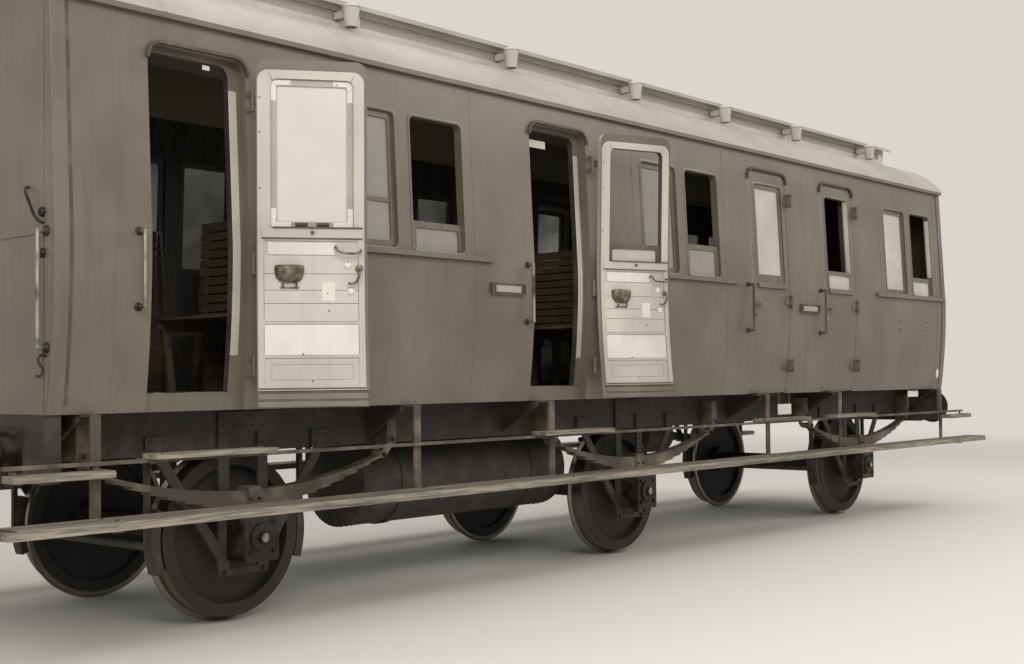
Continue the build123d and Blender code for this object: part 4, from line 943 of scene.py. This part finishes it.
LEAF_MID = (LEAF_LEFT + LEAF_RIGHT) / 2
LINING_LOW = 1.3955
PANEL_X = (-0.2585, 0.2775)
PALE_FLOORS = ((1.410, 1.590), (2.163, 2.250))
PALE_SASH_DOORS = ((1, "near"),)
# Leaves whose window reveal on the hinge side is painted white: painted sunlight on the cream reveal
PAINTED_LIGHT_REVEALS = ((4, "near"),)
LOWERED_DOORS = ((2, "near"), (4, "near"))
LOWERED_TOP = 2.450
SASH_TOP_GAP = 0.003

# Depths in a leaf, from its outer face
SASH_DEPTHS = (0.005, 0.0345)
EDGE_DEPTH = 0.004
SUNK_DEPTH = 0.0365
LINING_DEPTH = 0.0432

# Strips on a leaf's inner face by finish: x from and to, z from and to, depth from and to
LEAF_STRIPS = {
    "panel": (
        ((-0.256, 0.275), (1.594, 1.770), (0.0395, 0.0420)),
        ((-0.127, 0.254), (2.166, 2.237), (0.0395, 0.0465)),
    ),
    "board": tuple(
        ((-0.256, 0.275), z, (0.0395, 0.0430))
        for z in ((1.786, 1.887), (1.890, 1.962), (1.965, 2.056), (2.059, 2.162))
    ),
    "inside": (
        ((-0.2815, 0.2885), (2.262, 2.316), (0.0470, 0.0540)),
        ((-0.226, 0.245), (1.457, 1.466), (0.0395, 0.0440)),
        ((-0.226, 0.245), (1.542, 1.551), (0.0395, 0.0440)),
        ((-0.226, -0.217), (1.466, 1.542), (0.0395, 0.0440)),
        ((0.236, 0.245), (1.466, 1.542), (0.0395, 0.0440)),
    ),
    "drab": (
        ((-0.305, 0.312), (1.348, 1.378), (0.0395, 0.0409)),
        ((-0.305, 0.312), (1.306, 1.334), (0.0395, 0.0409)),
    ),
    "brown": (
        ((-0.2815, 0.2885), (2.255, 2.262), (0.0470, 0.0552)),
        ((-0.2815, 0.2250), (2.316, 2.323), (0.0470, 0.0640)),
        ((-0.290, 0.309), (1.401, 1.411), (0.0475, 0.0495)),
    ),
}

# Fittings on a leaf's inner face, as x, z and depth
PULL_BAR = ((-0.125, 2.206, 0.046), (-0.125, 2.212, 0.066), (-0.127, 2.210, 0.078), (-0.136, 2.190, 0.084),
            (-0.156, 2.176, 0.087), (-0.200, 2.171, 0.088), (-0.242, 2.172, 0.086), (-0.264, 2.180, 0.080),
            (-0.272, 2.192, 0.066), (-0.272, 2.196, 0.046))
LEVER = ((-0.262, 2.088, 0.046), (-0.262, 2.086, 0.070), (-0.262, 2.070, 0.078), (-0.257, 2.040, 0.080),
         (-0.240, 2.008, 0.080), (-0.214, 1.998, 0.078), (-0.196, 2.004, 0.076))
SCREWS = ((0.298, 2.857, 0.0475), (0.298, 2.541, 0.0475), (0.298, 3.05, 0.0475),
          (-0.089, 1.846, 0.0425), (0.008, 1.448, 0.0395), (0.060, 1.600, 0.0415))
KNOBS = ((-0.196, 2.107), (-0.214, 1.958))

# Tipping tray: its middle, and its bowl as height, half width and reach
TRAY_X = 0.134
TRAY_FOOT = 0.038
TRAY_BOWL = ((2.006, 0.036, 0.018), (2.016, 0.060, 0.034), (2.036, 0.076, 0.046), (2.062, 0.083, 0.052),
             (2.086, 0.085, 0.054), (2.100, 0.083, 0.052), (2.106, 0.076, 0.046))

# Profiles of turned fittings, as distance from the face and radius
LEVER_ROSE = ((0, 0.024), (0.008, 0.023), (0.012, 0.014))
SASH_KNOB = ((0, 0.007), (0.006, 0.006), (0.009, 0.011), (0.014, 0.010), (0.0155, 0.005))
ENAMEL_KNOB = ((0, 0.021), (0.006, 0.021), (0.010, 0.018), (0.013, 0.010))
SCREW_HEAD = ((0, 0.006), (0.0015, 0.0055), (0.0022, 0.003))
KEYHOLE_PLATE = ((-0.001, 0.017), (0.003, 0.016), (0.004, 0.006))


def inner(x, z, depth):
    """Point inside a shut near leaf, this deep from its outer face."""
    return (x, depth - face_at(z), z)


class COACH_OT_doors(bpy.types.Operator):
    """Paint the leaves inside and out, and add their boards, fittings and doorways"""

    bl_idname = "coach.doors"
    bl_label = "Doors"

    def execute(self, context):
        trim = context.scene.coach_sizes.trim
        for leaf in LEAVES:
            self.paint_leaf(leaf)
            self.dress_inside(leaf)
            self.dress_sash(leaf)
            self.hang_fittings(leaf)
            self.add_tray(leaf)
            self.dress_outside(leaf, trim)
        self.dress_doorways()
        return {"FINISHED"}

    def part(self, leaf, name, kind, bevel=0.0, slot="door_paint"):
        """Mesh of a piece that swings with a leaf."""
        body = body_of(leaf)
        return piece(f"{body}_{name}", kind, slot, bevel, body, door_matrix(leaf))

    def paint_leaf(self, leaf):
        back = door_matrix(leaf).inverted()
        turn = back.to_3x3()
        sash = "pale_sash" if leaf in PALE_SASH_DOORS else "sash"

        def chooser(centre, normal):
            local = back @ centre
            depth = local.y + face_at(local.z)
            across, facing, _ = turn @ normal
            if (LEAF_LIGHT_LOW - 0.01 < local.z < LEAF_LIGHT_HIGH + 0.01
                    and abs(local.x - LEAF_MID) < LEAF_LIGHT_HALF + 0.002):
                # Painted light: that reveal is white, for the sun on it
                if leaf in PAINTED_LIGHT_REVEALS and across < -0.5:
                    return "panel"
                return sash if SASH_DEPTHS[0] < depth < SASH_DEPTHS[1] else "enamel"
            # Painted shade: below the lining the inner face looks to the lamps more than the body does, so it
            # gets the dark enamel
            if local.z < LINING_LOW and facing > 0.5:
                return "soot_and_shade"
            # The lining and the leaf's own edges are light
            if depth > LINING_DEPTH or (depth > EDGE_DEPTH and abs(facing) < 0.5):
                return "inside"
            # Floors of the sunk panels; behind the boards it stays dark, so that their joints show
            sunk = depth > SUNK_DEPTH and PANEL_X[0] < local.x < PANEL_X[1]
            return "inside" if sunk and any(low < local.z < high for low, high in PALE_FLOORS) else "enamel"
        paint(body_of(leaf), "enamel", "inside", sash, "soot_and_shade", "panel", chooser=chooser)

    def dress_inside(self, leaf):
        for kind, strips in LEAF_STRIPS.items():
            with self.part(leaf, f"{kind}_strips", kind, 0.0008) as bm:
                for x, z, depth in strips:
                    add_side_strip(bm, x, z, (-depth[0], -depth[1]))

    def dress_sash(self, leaf):
        """Corner plates on the sash, and the lifts and rail that show above the window board."""
        lowered = leaf in LOWERED_DOORS
        pale = leaf in PALE_SASH_DOORS
        top = (LOWERED_TOP if lowered else LEAF_LIGHT_HIGH) - SASH_TOP_GAP
        with self.part(leaf, "corner_plates", "plate" if pale else "brown", 0.0006) as bm:
            for sign in (-1, 1):
                outer, arm, end = (LEAF_MID + sign * x for x in (0.2325, 0.2015, 0.120))
                add_side_strip(bm, sorted((outer, arm)), (top - 0.120, top), (-0.0325, -0.0345))
                add_side_strip(bm, sorted((arm, end)), (top - 0.030, top), (-0.0325, -0.0345))
                if not lowered:
                    add_side_strip(bm, sorted((outer, arm)), (2.324, 2.430), (-0.0325, -0.0362))
                    add_side_strip(bm, sorted((arm, end)), (2.324, 2.352), (-0.0325, -0.0362))
        if lowered:
            return
        with self.part(leaf, "sash_foot", "pale_sash" if pale else "sash", 0.0015, "frame_wood") as bm:
            for depth in ((-0.0080, -0.0160), (-0.0240, -0.0335)):
                add_side_strip(bm, (LEAF_MID - 0.2, LEAF_MID + 0.2), (2.300, 2.354), depth)
        with self.part(leaf, "sash_lifts", "brown", 0.002) as bm:
            for x in (0.064, -0.057):
                add_side_strip(bm, (x - 0.036, x + 0.036), (2.326, 2.350), (-0.0330, -0.0360))
                add_side_strip(bm, (x - 0.030, x + 0.030), (2.334, 2.342), (-0.0350, -0.0460))

    def hang_fittings(self, leaf):
        """Bars, lever, knobs, plate and screws on the inner face."""
        with self.part(leaf, "pull_bar_and_lever", "bronze", slot="rail_steel") as bm:
            add_bent_rod(bm, [inner(*point) for point in PULL_BAR], 0.0062)
            add_bent_rod(bm, [inner(*point) for point in LEVER], 0.0072)
            add_lathe(bm, inner(-0.262, 2.088, 0.041), INWARD, LEVER_ROSE, 20)
            add_lathe(bm, inner(LEAF_MID, 2.292, 0.052), INWARD, SASH_KNOB)
        with self.part(leaf, "blank_plate", "plate", 0.0008) as bm:
            for x, z in KNOBS:
                add_lathe(bm, inner(x, z, 0.0415), INWARD, ENAMEL_KNOB, 20)
            add_side_strip(bm, (-0.124, -0.050), (1.900, 2.010), (-0.0420, -0.0452))
        with self.part(leaf, "screws", "brown") as bm:
            for screw in SCREWS:
                add_lathe(bm, inner(*screw), INWARD, SCREW_HEAD, 10)

    def add_tray(self, leaf):
        """Small tipping tray: a half-round bowl under a flat lid, on two feet."""
        turns = [math.pi * i / 14 for i in range(15)]
        with self.part(leaf, "tray", "bronze", 0.0015) as bm:
            bridge_solid(bm, [
                [inner(TRAY_X + half_x * math.cos(t), z, 0.043 + reach * math.sin(t)) for t in turns]
                for z, half_x, reach in TRAY_BOWL])
            for x in (TRAY_X - TRAY_FOOT, TRAY_X + TRAY_FOOT):
                foot = ((2.012, 0.060), (1.996, 0.066), (1.982, 0.060), (1.976, 0.044))
                add_bent_rod(bm, [inner(x, z, depth) for z, depth in foot], 0.0055, 8)
            add_side_strip(bm, (TRAY_X - 0.055, TRAY_X + 0.055), (1.972, 1.984), (-0.0420, -0.0460))

    def dress_outside(self, leaf, trim):
        with self.part(leaf, "mouldings", "enamel") as bm:
            outline = rounded(LEAF_LIGHT_HALF, LEAF_LIGHT_LOW, LEAF_LIGHT_HIGH, WINDOW_CORNER)
            add_side_ring(bm, outline, MOULDING_WIDTH, (TRIM_SINK, trim * 0.7), LEAF_MID)
            add_side_strip(bm, (-0.296, 0.303), (1.312, 1.348), (TRIM_SINK, trim * 0.6))
        with self.part(leaf, "keyhole_plate", "worn_iron", slot="rail_steel") as bm:
            add_lathe(bm, (LEAF_LEFT + 0.045, -face_at(1.99), 1.99), OUTWARD, KEYHOLE_PLATE)

    def dress_doorways(self):
        # The posts' faces towards the doorway get the near-black underframe paint: painted shade in the doorway
        paint("door_posts", "drab", "frame",
              chooser=lambda centre, normal: "frame" if abs(normal.x) > 0.5 else "drab")
        face = face_at(FLOOR_Z)
        for side in SIDES:
            matrix = side_matrix(side)
            middles = [along(side, door_centre(number))[0] for number in DOOR_NUMBERS]
            with piece(f"post_strips_{side}", "inside", "door_paint", 0.001, matrix=matrix) as bm:
                for x in middles:
                    add_side_strip(bm, (x + 0.2450, x + 0.2990), (1.600, 3.115), (-0.0590, -0.0608))
                # Plate on the lock post of the second doorway
                x = middles[1]
                add_side_strip(bm, (x - 0.302, x - 0.050), (3.128, 3.184), (-0.0800, -0.0830))
            with piece(f"thresholds_{side}", "worn_iron", "rail_steel", 0.001, matrix=matrix) as bm:
                for x in middles:
                    add_block(bm, (x - 0.296, 0.062 - face, FLOOR_Z - 0.001),
                              (x + 0.241, 0.150 - face, FLOOR_Z + 0.0035))
                    for i in range(7):
                        add_rivet(bm, (x - 0.28 + 0.085 * i, 0.106 - face, FLOOR_Z + 0.0035), UPWARD, 0.006)
            with piece(f"doorway_plates_{side}", "plate", "door_paint", matrix=matrix) as bm:
                x = middles[0]
                add_side_strip(bm, (x + 0.074, x + 0.122), (3.209, 3.235), (-0.0620, -0.0650))


# Windows

# Window whose pane has a bar across it: place along the coach, height
BARRED_WINDOW = (-3.225, 2.592)

# Place of the white strip of painted light in a window's reveal
PAINTED_LIGHT_STRIP_X = 5.0575

# Panes left of this place are painted darker, as painted shade
SHADED_GLASS_END = 1.0


class COACH_OT_windows(bpy.types.Operator):
    """Finish the sashes and panes of sides, doors and lantern"""

    bl_idname = "coach.windows"
    bl_label = "Windows"

    def execute(self, context):
        paint("window_sashes", "sash")
        x, z = BARRED_WINDOW
        with piece("window_cross_bar", "sash", "frame_wood", 0.002) as bm:
            for depth in ((-0.0200, -0.0290), (-0.0330, -0.0420)):
                add_side_strip(bm, (x - 0.199, x + 0.199), (z - 0.014, z + 0.014), depth)
        # White strip in the sunlit reveal of the last lowered window: painted light on the reveal's cream
        with piece("window_reveal_strip", "panel", "body_paint") as bm:
            add_side_strip(bm, (PAINTED_LIGHT_STRIP_X, PAINTED_LIGHT_STRIP_X + 0.0012), (2.500, 3.120), (-0.002, -0.046))
        paint("window_glass", "glass", "shaded_glass",
              chooser=lambda centre, normal: "shaded_glass" if centre.x < SHADED_GLASS_END else "glass")
        paint("lantern_glass", "lantern_glass")
        for leaf in LEAVES:
            paint(f"{body_of(leaf)}_glass", "sky_reflecting_glass" if leaf in PALE_SASH_DOORS else "glass")
        return {"FINISHED"}


# Roof

ROOF_END = 5.415
ROOF_BULGE = 0.060
ROOF_SHOULDER = (0.800, 3.775)
RIDGE_RISES = (-0.003, 0.0022)
RIDGE_HALVES = (0.014, 0.010)


def bow_points(start, end, bulge, rise, count=12):
    """Points of the arc from start to end that stands bulge over its chord, shifted outwards by rise."""
    chord = Vector((end[0] - start[0], end[1] - start[1]))
    length = chord.length
    radius = (length**2 / 4 + bulge**2) / (2 * bulge)
    outward = Vector((-chord.y, chord.x)).normalized()
    if outward.x < 0:
        outward = -outward
    centre = (Vector(start) + Vector(end)) / 2 - outward * (radius - bulge)
    half = math.asin(length / 2 / radius)
    points = []
    for i in range(count + 1):
        angle = (half - 2 * half * i / count) * 0.985
        direction = outward * math.cos(angle) - chord.normalized() * math.sin(angle)
        points.append(tuple(centre + direction * (radius + rise)))
    return points


class COACH_OT_roof(bpy.types.Operator):
    """Finish the roof, the lantern and the gutters, and add the roof's ridges"""

    bl_idname = "coach.roof"
    bl_label = "Roof"

    def execute(self, context):
        for node in ("roof", "lantern_roof"):
            paint(node, "roof", "ceiling",
                  chooser=lambda centre, normal: "ceiling" if normal.z < -0.4 else "roof")
        for node in ("lantern_sides", "roof_ventilators"):
            paint(node, "lantern_side")
        paint("gutters", "enamel")
        self.add_ridges(context.scene.coach_sizes.roof_seam)
        return {"FINISHED"}

    def add_ridges(self, spacing):
        """Low ridges where the canvas is lapped, from each eave up to the lantern."""
        eave = (-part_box("roof")[0].y, CORNICE_Z)
        bows = [bow_points(eave, ROOF_SHOULDER, ROOF_BULGE, rise) for rise in RIDGE_RISES]
        wide, narrow = RIDGE_HALVES
        count = int(2 * ROOF_END / spacing)
        with piece("roof_ridges", "roof", "roof_paint") as bm:
            for i, sign in product(range(count), (-1, 1)):
                x = (i - (count - 1) / 2) * spacing
                bridge_solid(bm, [
                    [(x - wide, sign * low[0], low[1]), (x + wide, sign * low[0], low[1]),
                     (x + narrow, sign * high[0], high[1]), (x - narrow, sign * high[0], high[1])]
                    for low, high in zip(*bows)])


# Running gear

BOX_FACE = 1.101
COVER_FACE = 1.131
GUARD_FACE = 0.925
SOLEBAR_FACE = 0.905
SPRING_FACE = 1.035
BUFFER_Z = 1.078
BUFFER_Y = 0.875
TANK = {"x": (-2.750, -0.450), "y": -0.350, "z": 0.740, "radius": 0.310}
TANK_RIVETS = 36

# Nuts at each axle: radius, face, and places as distance from the axle along the coach and height
GEAR_NUTS = (
    (0.015, BOX_FACE, tuple(product((-0.084, 0.084), (AXLE_Z - 0.084, AXLE_Z + 0.084)))),
    (0.016, SPRING_FACE, ((-1.130, 1.059), (-1.050, 0.964), (1.050, 0.964), (1.130, 1.059))),
    (0.014, GUARD_FACE, ((-0.143, 0.320), (0.143, 0.320))),
    (0.011, SPRING_FACE, ((-0.030, 0.752), (0.030, 0.752))),
)

# Rivets at each axle on the guards and the frame, as distance from the axle and height
GUARD_RIVETS = (
    *product((-0.143, 0.143, -0.07, 0.0, 0.07), (1.185, 1.240)),
    *product((-0.143, 0.143), (0.80, 0.94, 1.08)),
    *product((-0.650, -0.560, 0.560, 0.650), (1.055, 1.110)),
)
SOLEBAR_RIVET_HEIGHTS = (1.050, 1.270)
OIL_LID = ((-0.001, 0.026), (0.004, 0.026), (0.007, 0.022), (0.009, 0.010))

# CAD nodes by the finish of the whole node
GEAR_FINISHES = {
    "wheel": ("wheelset_left", "wheelset_middle", "wheelset_right"),
    "frame": ("axle_guards", "underframe", "gas_tank", "gas_tank_straps", "brake_gear", "brake_cylinder"),
    "step_rail": ("leaf_springs", "footboard_hangers"),
    "iron": ("axleboxes", "buffer_housings", "draw_gear", "buffers"),
}


class COACH_OT_running_gear(bpy.types.Operator):
    """Finish wheels, axleboxes, springs, brakes and the underframe, and add nuts and rivets"""

    bl_idname = "coach.running_gear"
    bl_label = "Running gear"

    def execute(self, context):
        sizes = context.scene.coach_sizes
        for kind, nodes in GEAR_FINISHES.items():
            for node in nodes:
                paint(node, kind)
        for side in SIDES:
            self.add_nuts(side)
            self.add_rivets(side, sizes)
        self.dress_tank(sizes.rivet * 0.8)
        for end, sign in ENDS.items():
            self.dress_buffers(end, sign)
        return {"FINISHED"}

    def add_nuts(self, side):
        place = dict(slot="cast_iron", matrix=side_matrix(side))
        with piece(f"gear_nuts_{side}", "iron", **place) as bm:
            for x, (radius, face, places) in product(AXLES, GEAR_NUTS):
                for dx, z in places:
                    add_nut(bm, (x + dx, -face, z), OUTWARD, radius)
        # Lids of the oil holes, wiped clean
        with piece(f"oil_lids_{side}", "worn_iron", **place) as bm:
            for x in AXLES:
                add_lathe(bm, (x, -COVER_FACE, AXLE_Z), OUTWARD, OIL_LID, 20)

    def add_rivets(self, side, sizes):
        with piece(f"frame_rivets_{side}", "frame", "frame_paint", matrix=side_matrix(side)) as bm:
            for x, (dx, z) in product(AXLES, GUARD_RIVETS):
                add_rivet(bm, (x + dx, -GUARD_FACE, z), OUTWARD, sizes.rivet)
            for i, z in product(range(-22, 23), SOLEBAR_RIVET_HEIGHTS):
                x = i * 2 * sizes.rivet_spacing
                if abs(x) < 5.2 and min(abs(x - axle) for axle in AXLES) > 0.72:
                    add_rivet(bm, (x, -SOLEBAR_FACE, z), OUTWARD, sizes.rivet)

    def dress_tank(self, radius):
        left, right = TANK["x"]
        with piece("tank_rivets", "frame", "frame_paint") as bm:
            for x, i in product((left + 0.105, left + 0.150, right - 0.150, right - 0.105), range(TANK_RIVETS)):
                turn = 2 * math.pi * (i + 0.5 * (x < sum(TANK["x"]) / 2)) / TANK_RIVETS
                normal = Vector((0, math.cos(turn), math.sin(turn)))
                at = Vector((x, TANK["y"], TANK["z"])) + normal * TANK["radius"]
                add_rivet(bm, at, normal, radius)

    def dress_buffers(self, end, sign):
        with piece(f"end_nuts_{end}", "iron", "cast_iron", matrix=end_matrix(sign)) as bm:
            for y, dy, dz in product((-BUFFER_Y, BUFFER_Y), (-0.118, 0.118), (-0.118, 0.118)):
                add_nut(bm, (END_X + 0.020, y + dy, BUFFER_Z + dz), ENDWARD, 0.020)
            for y, dz in product((-0.118, 0.118), (-0.098, 0.098)):
                add_nut(bm, (END_X + 0.025, y, BUFFER_Z + dz), ENDWARD, 0.018)


# Steps

HANGERS = (-5.150, -2.850, -1.500, 1.500, 2.850, 5.150)
FOOTBOARD_BOLTS = (-1.402, -1.545)
FOOTBOARD_IRON = (5.700, 5.748)
STEP_BOLTS = tuple(product((-0.34, 0.34), (-1.365, -1.440)))
STEP_RAIL_TOP = 1.050
STEP_RAIL_END = 5.374
END_STEP_X = (5.110, 5.660)
END_STEP_Z = (0.970, 1.008)


class COACH_OT_steps(bpy.types.Operator):
    """Finish the footboards and the upper steps, and add their bolts and end irons"""

    bl_idname = "coach.steps"
    bl_label = "Steps"

    def execute(self, context):
        paint("footboards", "footboard", "step",
              chooser=lambda centre, normal: "step" if normal.z < 0.5 else "footboard")
        paint("upper_steps", "step", "step_rail", chooser=self.step_chooser)
        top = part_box("footboards")[1].z
        step_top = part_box("upper_steps")[1].z
        for side in SIDES:
            with piece(f"step_irons_{side}", "frame", "frame_paint", matrix=side_matrix(side)) as bm:
                for x, y in product(HANGERS, FOOTBOARD_BOLTS):
                    add_rivet(bm, (x, y, top), UPWARD, 0.012)
                for number, (dx, y) in product(DOOR_NUMBERS, STEP_BOLTS):
                    x = along(side, door_centre(number))[0]
                    add_rivet(bm, (x + dx, y, step_top), UPWARD, 0.009)
                for x in mirrored(FOOTBOARD_IRON):
                    add_block(bm, (x[0], -1.590, top - 0.001), (x[1], -1.356, top + 0.003))
            self.add_end_steps(side)
        return {"FINISHED"}

    def add_end_steps(self, side):
        """Short plank under each end of the step rail, on two irons, with the rail carried on over it."""
        matrix = side_matrix(side)
        low, high = END_STEP_Z
        with piece(f"end_step_planks_{side}", "step", "step_wood", 0.006, matrix=matrix) as bm:
            for x in mirrored(END_STEP_X):
                add_block(bm, (x[0], -1.480, low), (x[1], -1.350, high))
        with piece(f"end_step_irons_{side}", "step_rail", "frame_paint", 0.001, matrix=matrix) as bm:
            for rail in mirrored((STEP_RAIL_END, END_STEP_X[1])):
                add_block(bm, (rail[0], -1.382, STEP_RAIL_TOP - 0.020),
                          (rail[1], -1.348, STEP_RAIL_TOP - 0.0002))
            for x in mirrored(END_STEP_X):
                for place in (x[0] + 0.050, x[1] - 0.050):
                    left, right = place - 0.018, place + 0.018
                    add_block(bm, (left, -1.368, high - 0.002), (right, -1.361, STEP_RAIL_TOP - 0.018))
                    add_block(bm, (left, -1.470, high - 0.001), (right, -1.361, high + 0.005))

    @staticmethod
    def step_chooser(centre, normal):
        """Boards, and the iron rail that they lie on."""
        on_top = abs(centre.z - STEP_RAIL_TOP) < 0.001 and normal.z > 0.5
        return "step_rail" if on_top or centre.z < STEP_RAIL_TOP - 0.001 else "step"


# Interior

class COACH_OT_interior(bpy.types.Operator):
    """Finish benches and floor"""

    bl_idname = "coach.interior"
    bl_label = "Interior"

    def execute(self, context):
        paint("benches", "bench")
        paint("bench_backs", "bench")
        paint("floor", "floor")
        return {"FINISHED"}


# Fittings

PLATE_HOLDER_DOORS = (2, 4)
PLATE_HOLDER_OFFSET = 0.620
RAIL_OFFSET = 0.405
RUBBED_RAILS_MID = -3.305
RUBBED_RAILS_REACH = 3.0
RAIL_HEIGHTS = (1.850, 2.250)
END_RAIL_HEIGHTS = (1.630, 2.220)
END_RAIL_Y = -1.268
BOSS_HEIGHTS = (2.318, 2.110)
BOSS_Y = -1.232

# Blank plates under the sill, near side: x from and to, z from and to
SILL_PLATES = (
    ((1.860, 2.100), (1.095, 1.190)),
    ((4.575, 4.825), (1.210, 1.275)),
)
SILL_PLATE_Y = -1.236

# Small oval disc on the side: place, half width and half height
OVAL = (5.230, 1.455)
OVAL_HALVES = (0.034, 0.050)

# Profiles of turned fittings, as distance from the face and radius
RAIL_FOOT = ((-0.001, 0.024), (0.004, 0.024), (0.010, 0.016), (0.020, 0.0145))
END_RAIL_ROSE = ((-0.001, 0.030), (0.005, 0.029), (0.014, 0.018), (0.022, 0.0155))
BOSS = ((-0.001, 0.026), (0.012, 0.025), (0.020, 0.018), (0.024, 0.008))

# Bars at an end's corner, from the end's face
HOOK = ((0.000, -1.262, 1.590), (0.030, -1.262, 1.592), (0.046, -1.264, 1.574), (0.040, -1.268, 1.548),
        (0.022, -1.266, 1.528), (0.018, -1.262, 1.504), (0.032, -1.258, 1.484), (0.052, -1.256, 1.490))
SLANTING_ROD = ((-0.002, -1.240, 2.262), (0.026, -1.236, 2.270), (0.034, -1.205, 2.298),
                (0.034, -1.120, 2.420), (0.024, -1.098, 2.452), (-0.002, -1.094, 2.458))


class COACH_OT_fittings(bpy.types.Operator):
    """Finish rails, ledges, hinges and plate holders, and add plates, bosses and hooks"""

    bl_idname = "coach.fittings"
    bl_label = "Fittings"

    def execute(self, context):
        # Door heads and plate holders in the dark enamel: painted shade under the heads' lips and round the
        # plates
        for node in ("plate_holders", "door_heads"):
            paint(node, "soot_and_shade")
        for node in ("sill_ledges", "door_hinges"):
            paint(node, "enamel")
        paint("end_handrails", "worn_iron")
        # The rails of the doors that stay shut are less rubbed
        paint("grab_rails", "worn_iron", "soot_and_shade", chooser=lambda centre, normal:
              "soot_and_shade" if abs(centre.x - RUBBED_RAILS_MID) > RUBBED_RAILS_REACH else "worn_iron")
        for side in SIDES:
            self.add_plates(side)
            self.add_rail_feet(side)
        for end, sign in ENDS.items():
            self.dress_corner(end, sign)
        return {"FINISHED"}

    def add_plates(self, side):
        matrix = side_matrix(side)
        plates = [along(side, *x) + z for x, z in SILL_PLATES]
        y = SILL_PLATE_Y
        with piece(f"blank_plates_{side}", "plate", "body_paint", 0.0008, matrix=matrix) as bm:
            for left, right, low, high in plates:
                add_block(bm, (left, y - 0.003, low), (right, y, high))
            self.add_oval(bm, along(side, OVAL[0])[0], OVAL[1])
        with piece(f"plate_straps_{side}", "frame", "frame_paint", 0.001, matrix=matrix) as bm:
            for left, right, low, high in plates:
                for x in (left + 0.03, right - 0.03):
                    add_block(bm, (x - 0.012, y, low + 0.01), (x + 0.012, y + 0.005, SILL_Z + 0.002))
        with piece(f"holder_plates_{side}", "pale_sash", "body_paint", 0.0008, matrix=matrix) as bm:
            for number in PLATE_HOLDER_DOORS:
                # The holder stands left of its doorway as one looks at the side
                x = along(side, door_centre(number))[0] - PLATE_HOLDER_OFFSET
                add_side_strip(bm, (x - 0.128, x + 0.128), (2.047, 2.093), (0.0098, 0.0176))

    def add_oval(self, bm, x, z):
        """Small oval enamel disc on the side."""
        half_x, half_z = OVAL_HALVES
        turns = [2 * math.pi * i / 24 for i in range(24)]
        bridge_solid(bm, [
            [(x + half_x * share * math.cos(t), -(face_at(z + half_z * math.sin(t)) + proud),
              z + half_z * share * math.sin(t)) for t in turns]
            for share, proud in ((1.0, -0.001), (1.0, 0.0015), (0.9, 0.003))])

    def add_rail_feet(self, side):
        with piece(f"rail_feet_{side}", "iron", "cast_iron", matrix=side_matrix(side)) as bm:
            for number, z in product(DOOR_NUMBERS, RAIL_HEIGHTS):
                x = along(side, door_centre(number))[0] - RAIL_OFFSET
                add_lathe(bm, (x, -face_at(z), z), OUTWARD, RAIL_FOOT)

    def dress_corner(self, end, sign):
        """Roses of the end rails, two bosses, a hook and a slanting rod at each corner."""
        with piece(f"corner_fittings_{end}", "iron", "cast_iron", matrix=end_matrix(sign)) as bm:
            for flip in (1, -1):
                for z in END_RAIL_HEIGHTS:
                    add_lathe(bm, (END_X, flip * END_RAIL_Y, z), ENDWARD, END_RAIL_ROSE)
                for z in BOSS_HEIGHTS:
                    add_lathe(bm, (END_X, flip * BOSS_Y, z), ENDWARD, BOSS)
                for bar in (HOOK, SLANTING_ROD):
                    add_bent_rod(bm, [(END_X + x, flip * y, z) for x, y, z in bar], 0.008)


class COACH_PT_coach(bpy.types.Panel):
    """Buttons and values of the coach"""

    bl_idname = "COACH_PT_coach"
    bl_label = "Passenger coach"
    bl_space_type = "VIEW_3D"
    bl_region_type = "UI"
    bl_category = "Coach"

    def draw(self, context):
        for step in STEPS:
            self.layout.operator(step.bl_idname)
        for group in (context.scene.coach_sizes, context.scene.coach_colours):
            for name in type(group).__annotations__:
                self.layout.prop(group, name)


STEPS = (COACH_OT_stage, COACH_OT_body, COACH_OT_doors, COACH_OT_windows, COACH_OT_roof, COACH_OT_running_gear,
         COACH_OT_steps, COACH_OT_interior, COACH_OT_fittings)
CLASSES = (CoachColours, CoachSizes) + STEPS + (COACH_PT_coach,)


def register():
    for cls in CLASSES:
        bpy.utils.register_class(cls)
    bpy.types.Scene.coach_colours = PointerProperty(type=CoachColours)
    bpy.types.Scene.coach_sizes = PointerProperty(type=CoachSizes)


def unregister():
    del bpy.types.Scene.coach_sizes
    del bpy.types.Scene.coach_colours
    for cls in reversed(CLASSES):
        bpy.utils.unregister_class(cls)


def main():
    register()
    for step in STEPS:
        group, name = step.bl_idname.split(".")
        getattr(getattr(bpy.ops, group), name)()


if __name__ == "__main__":
    main()
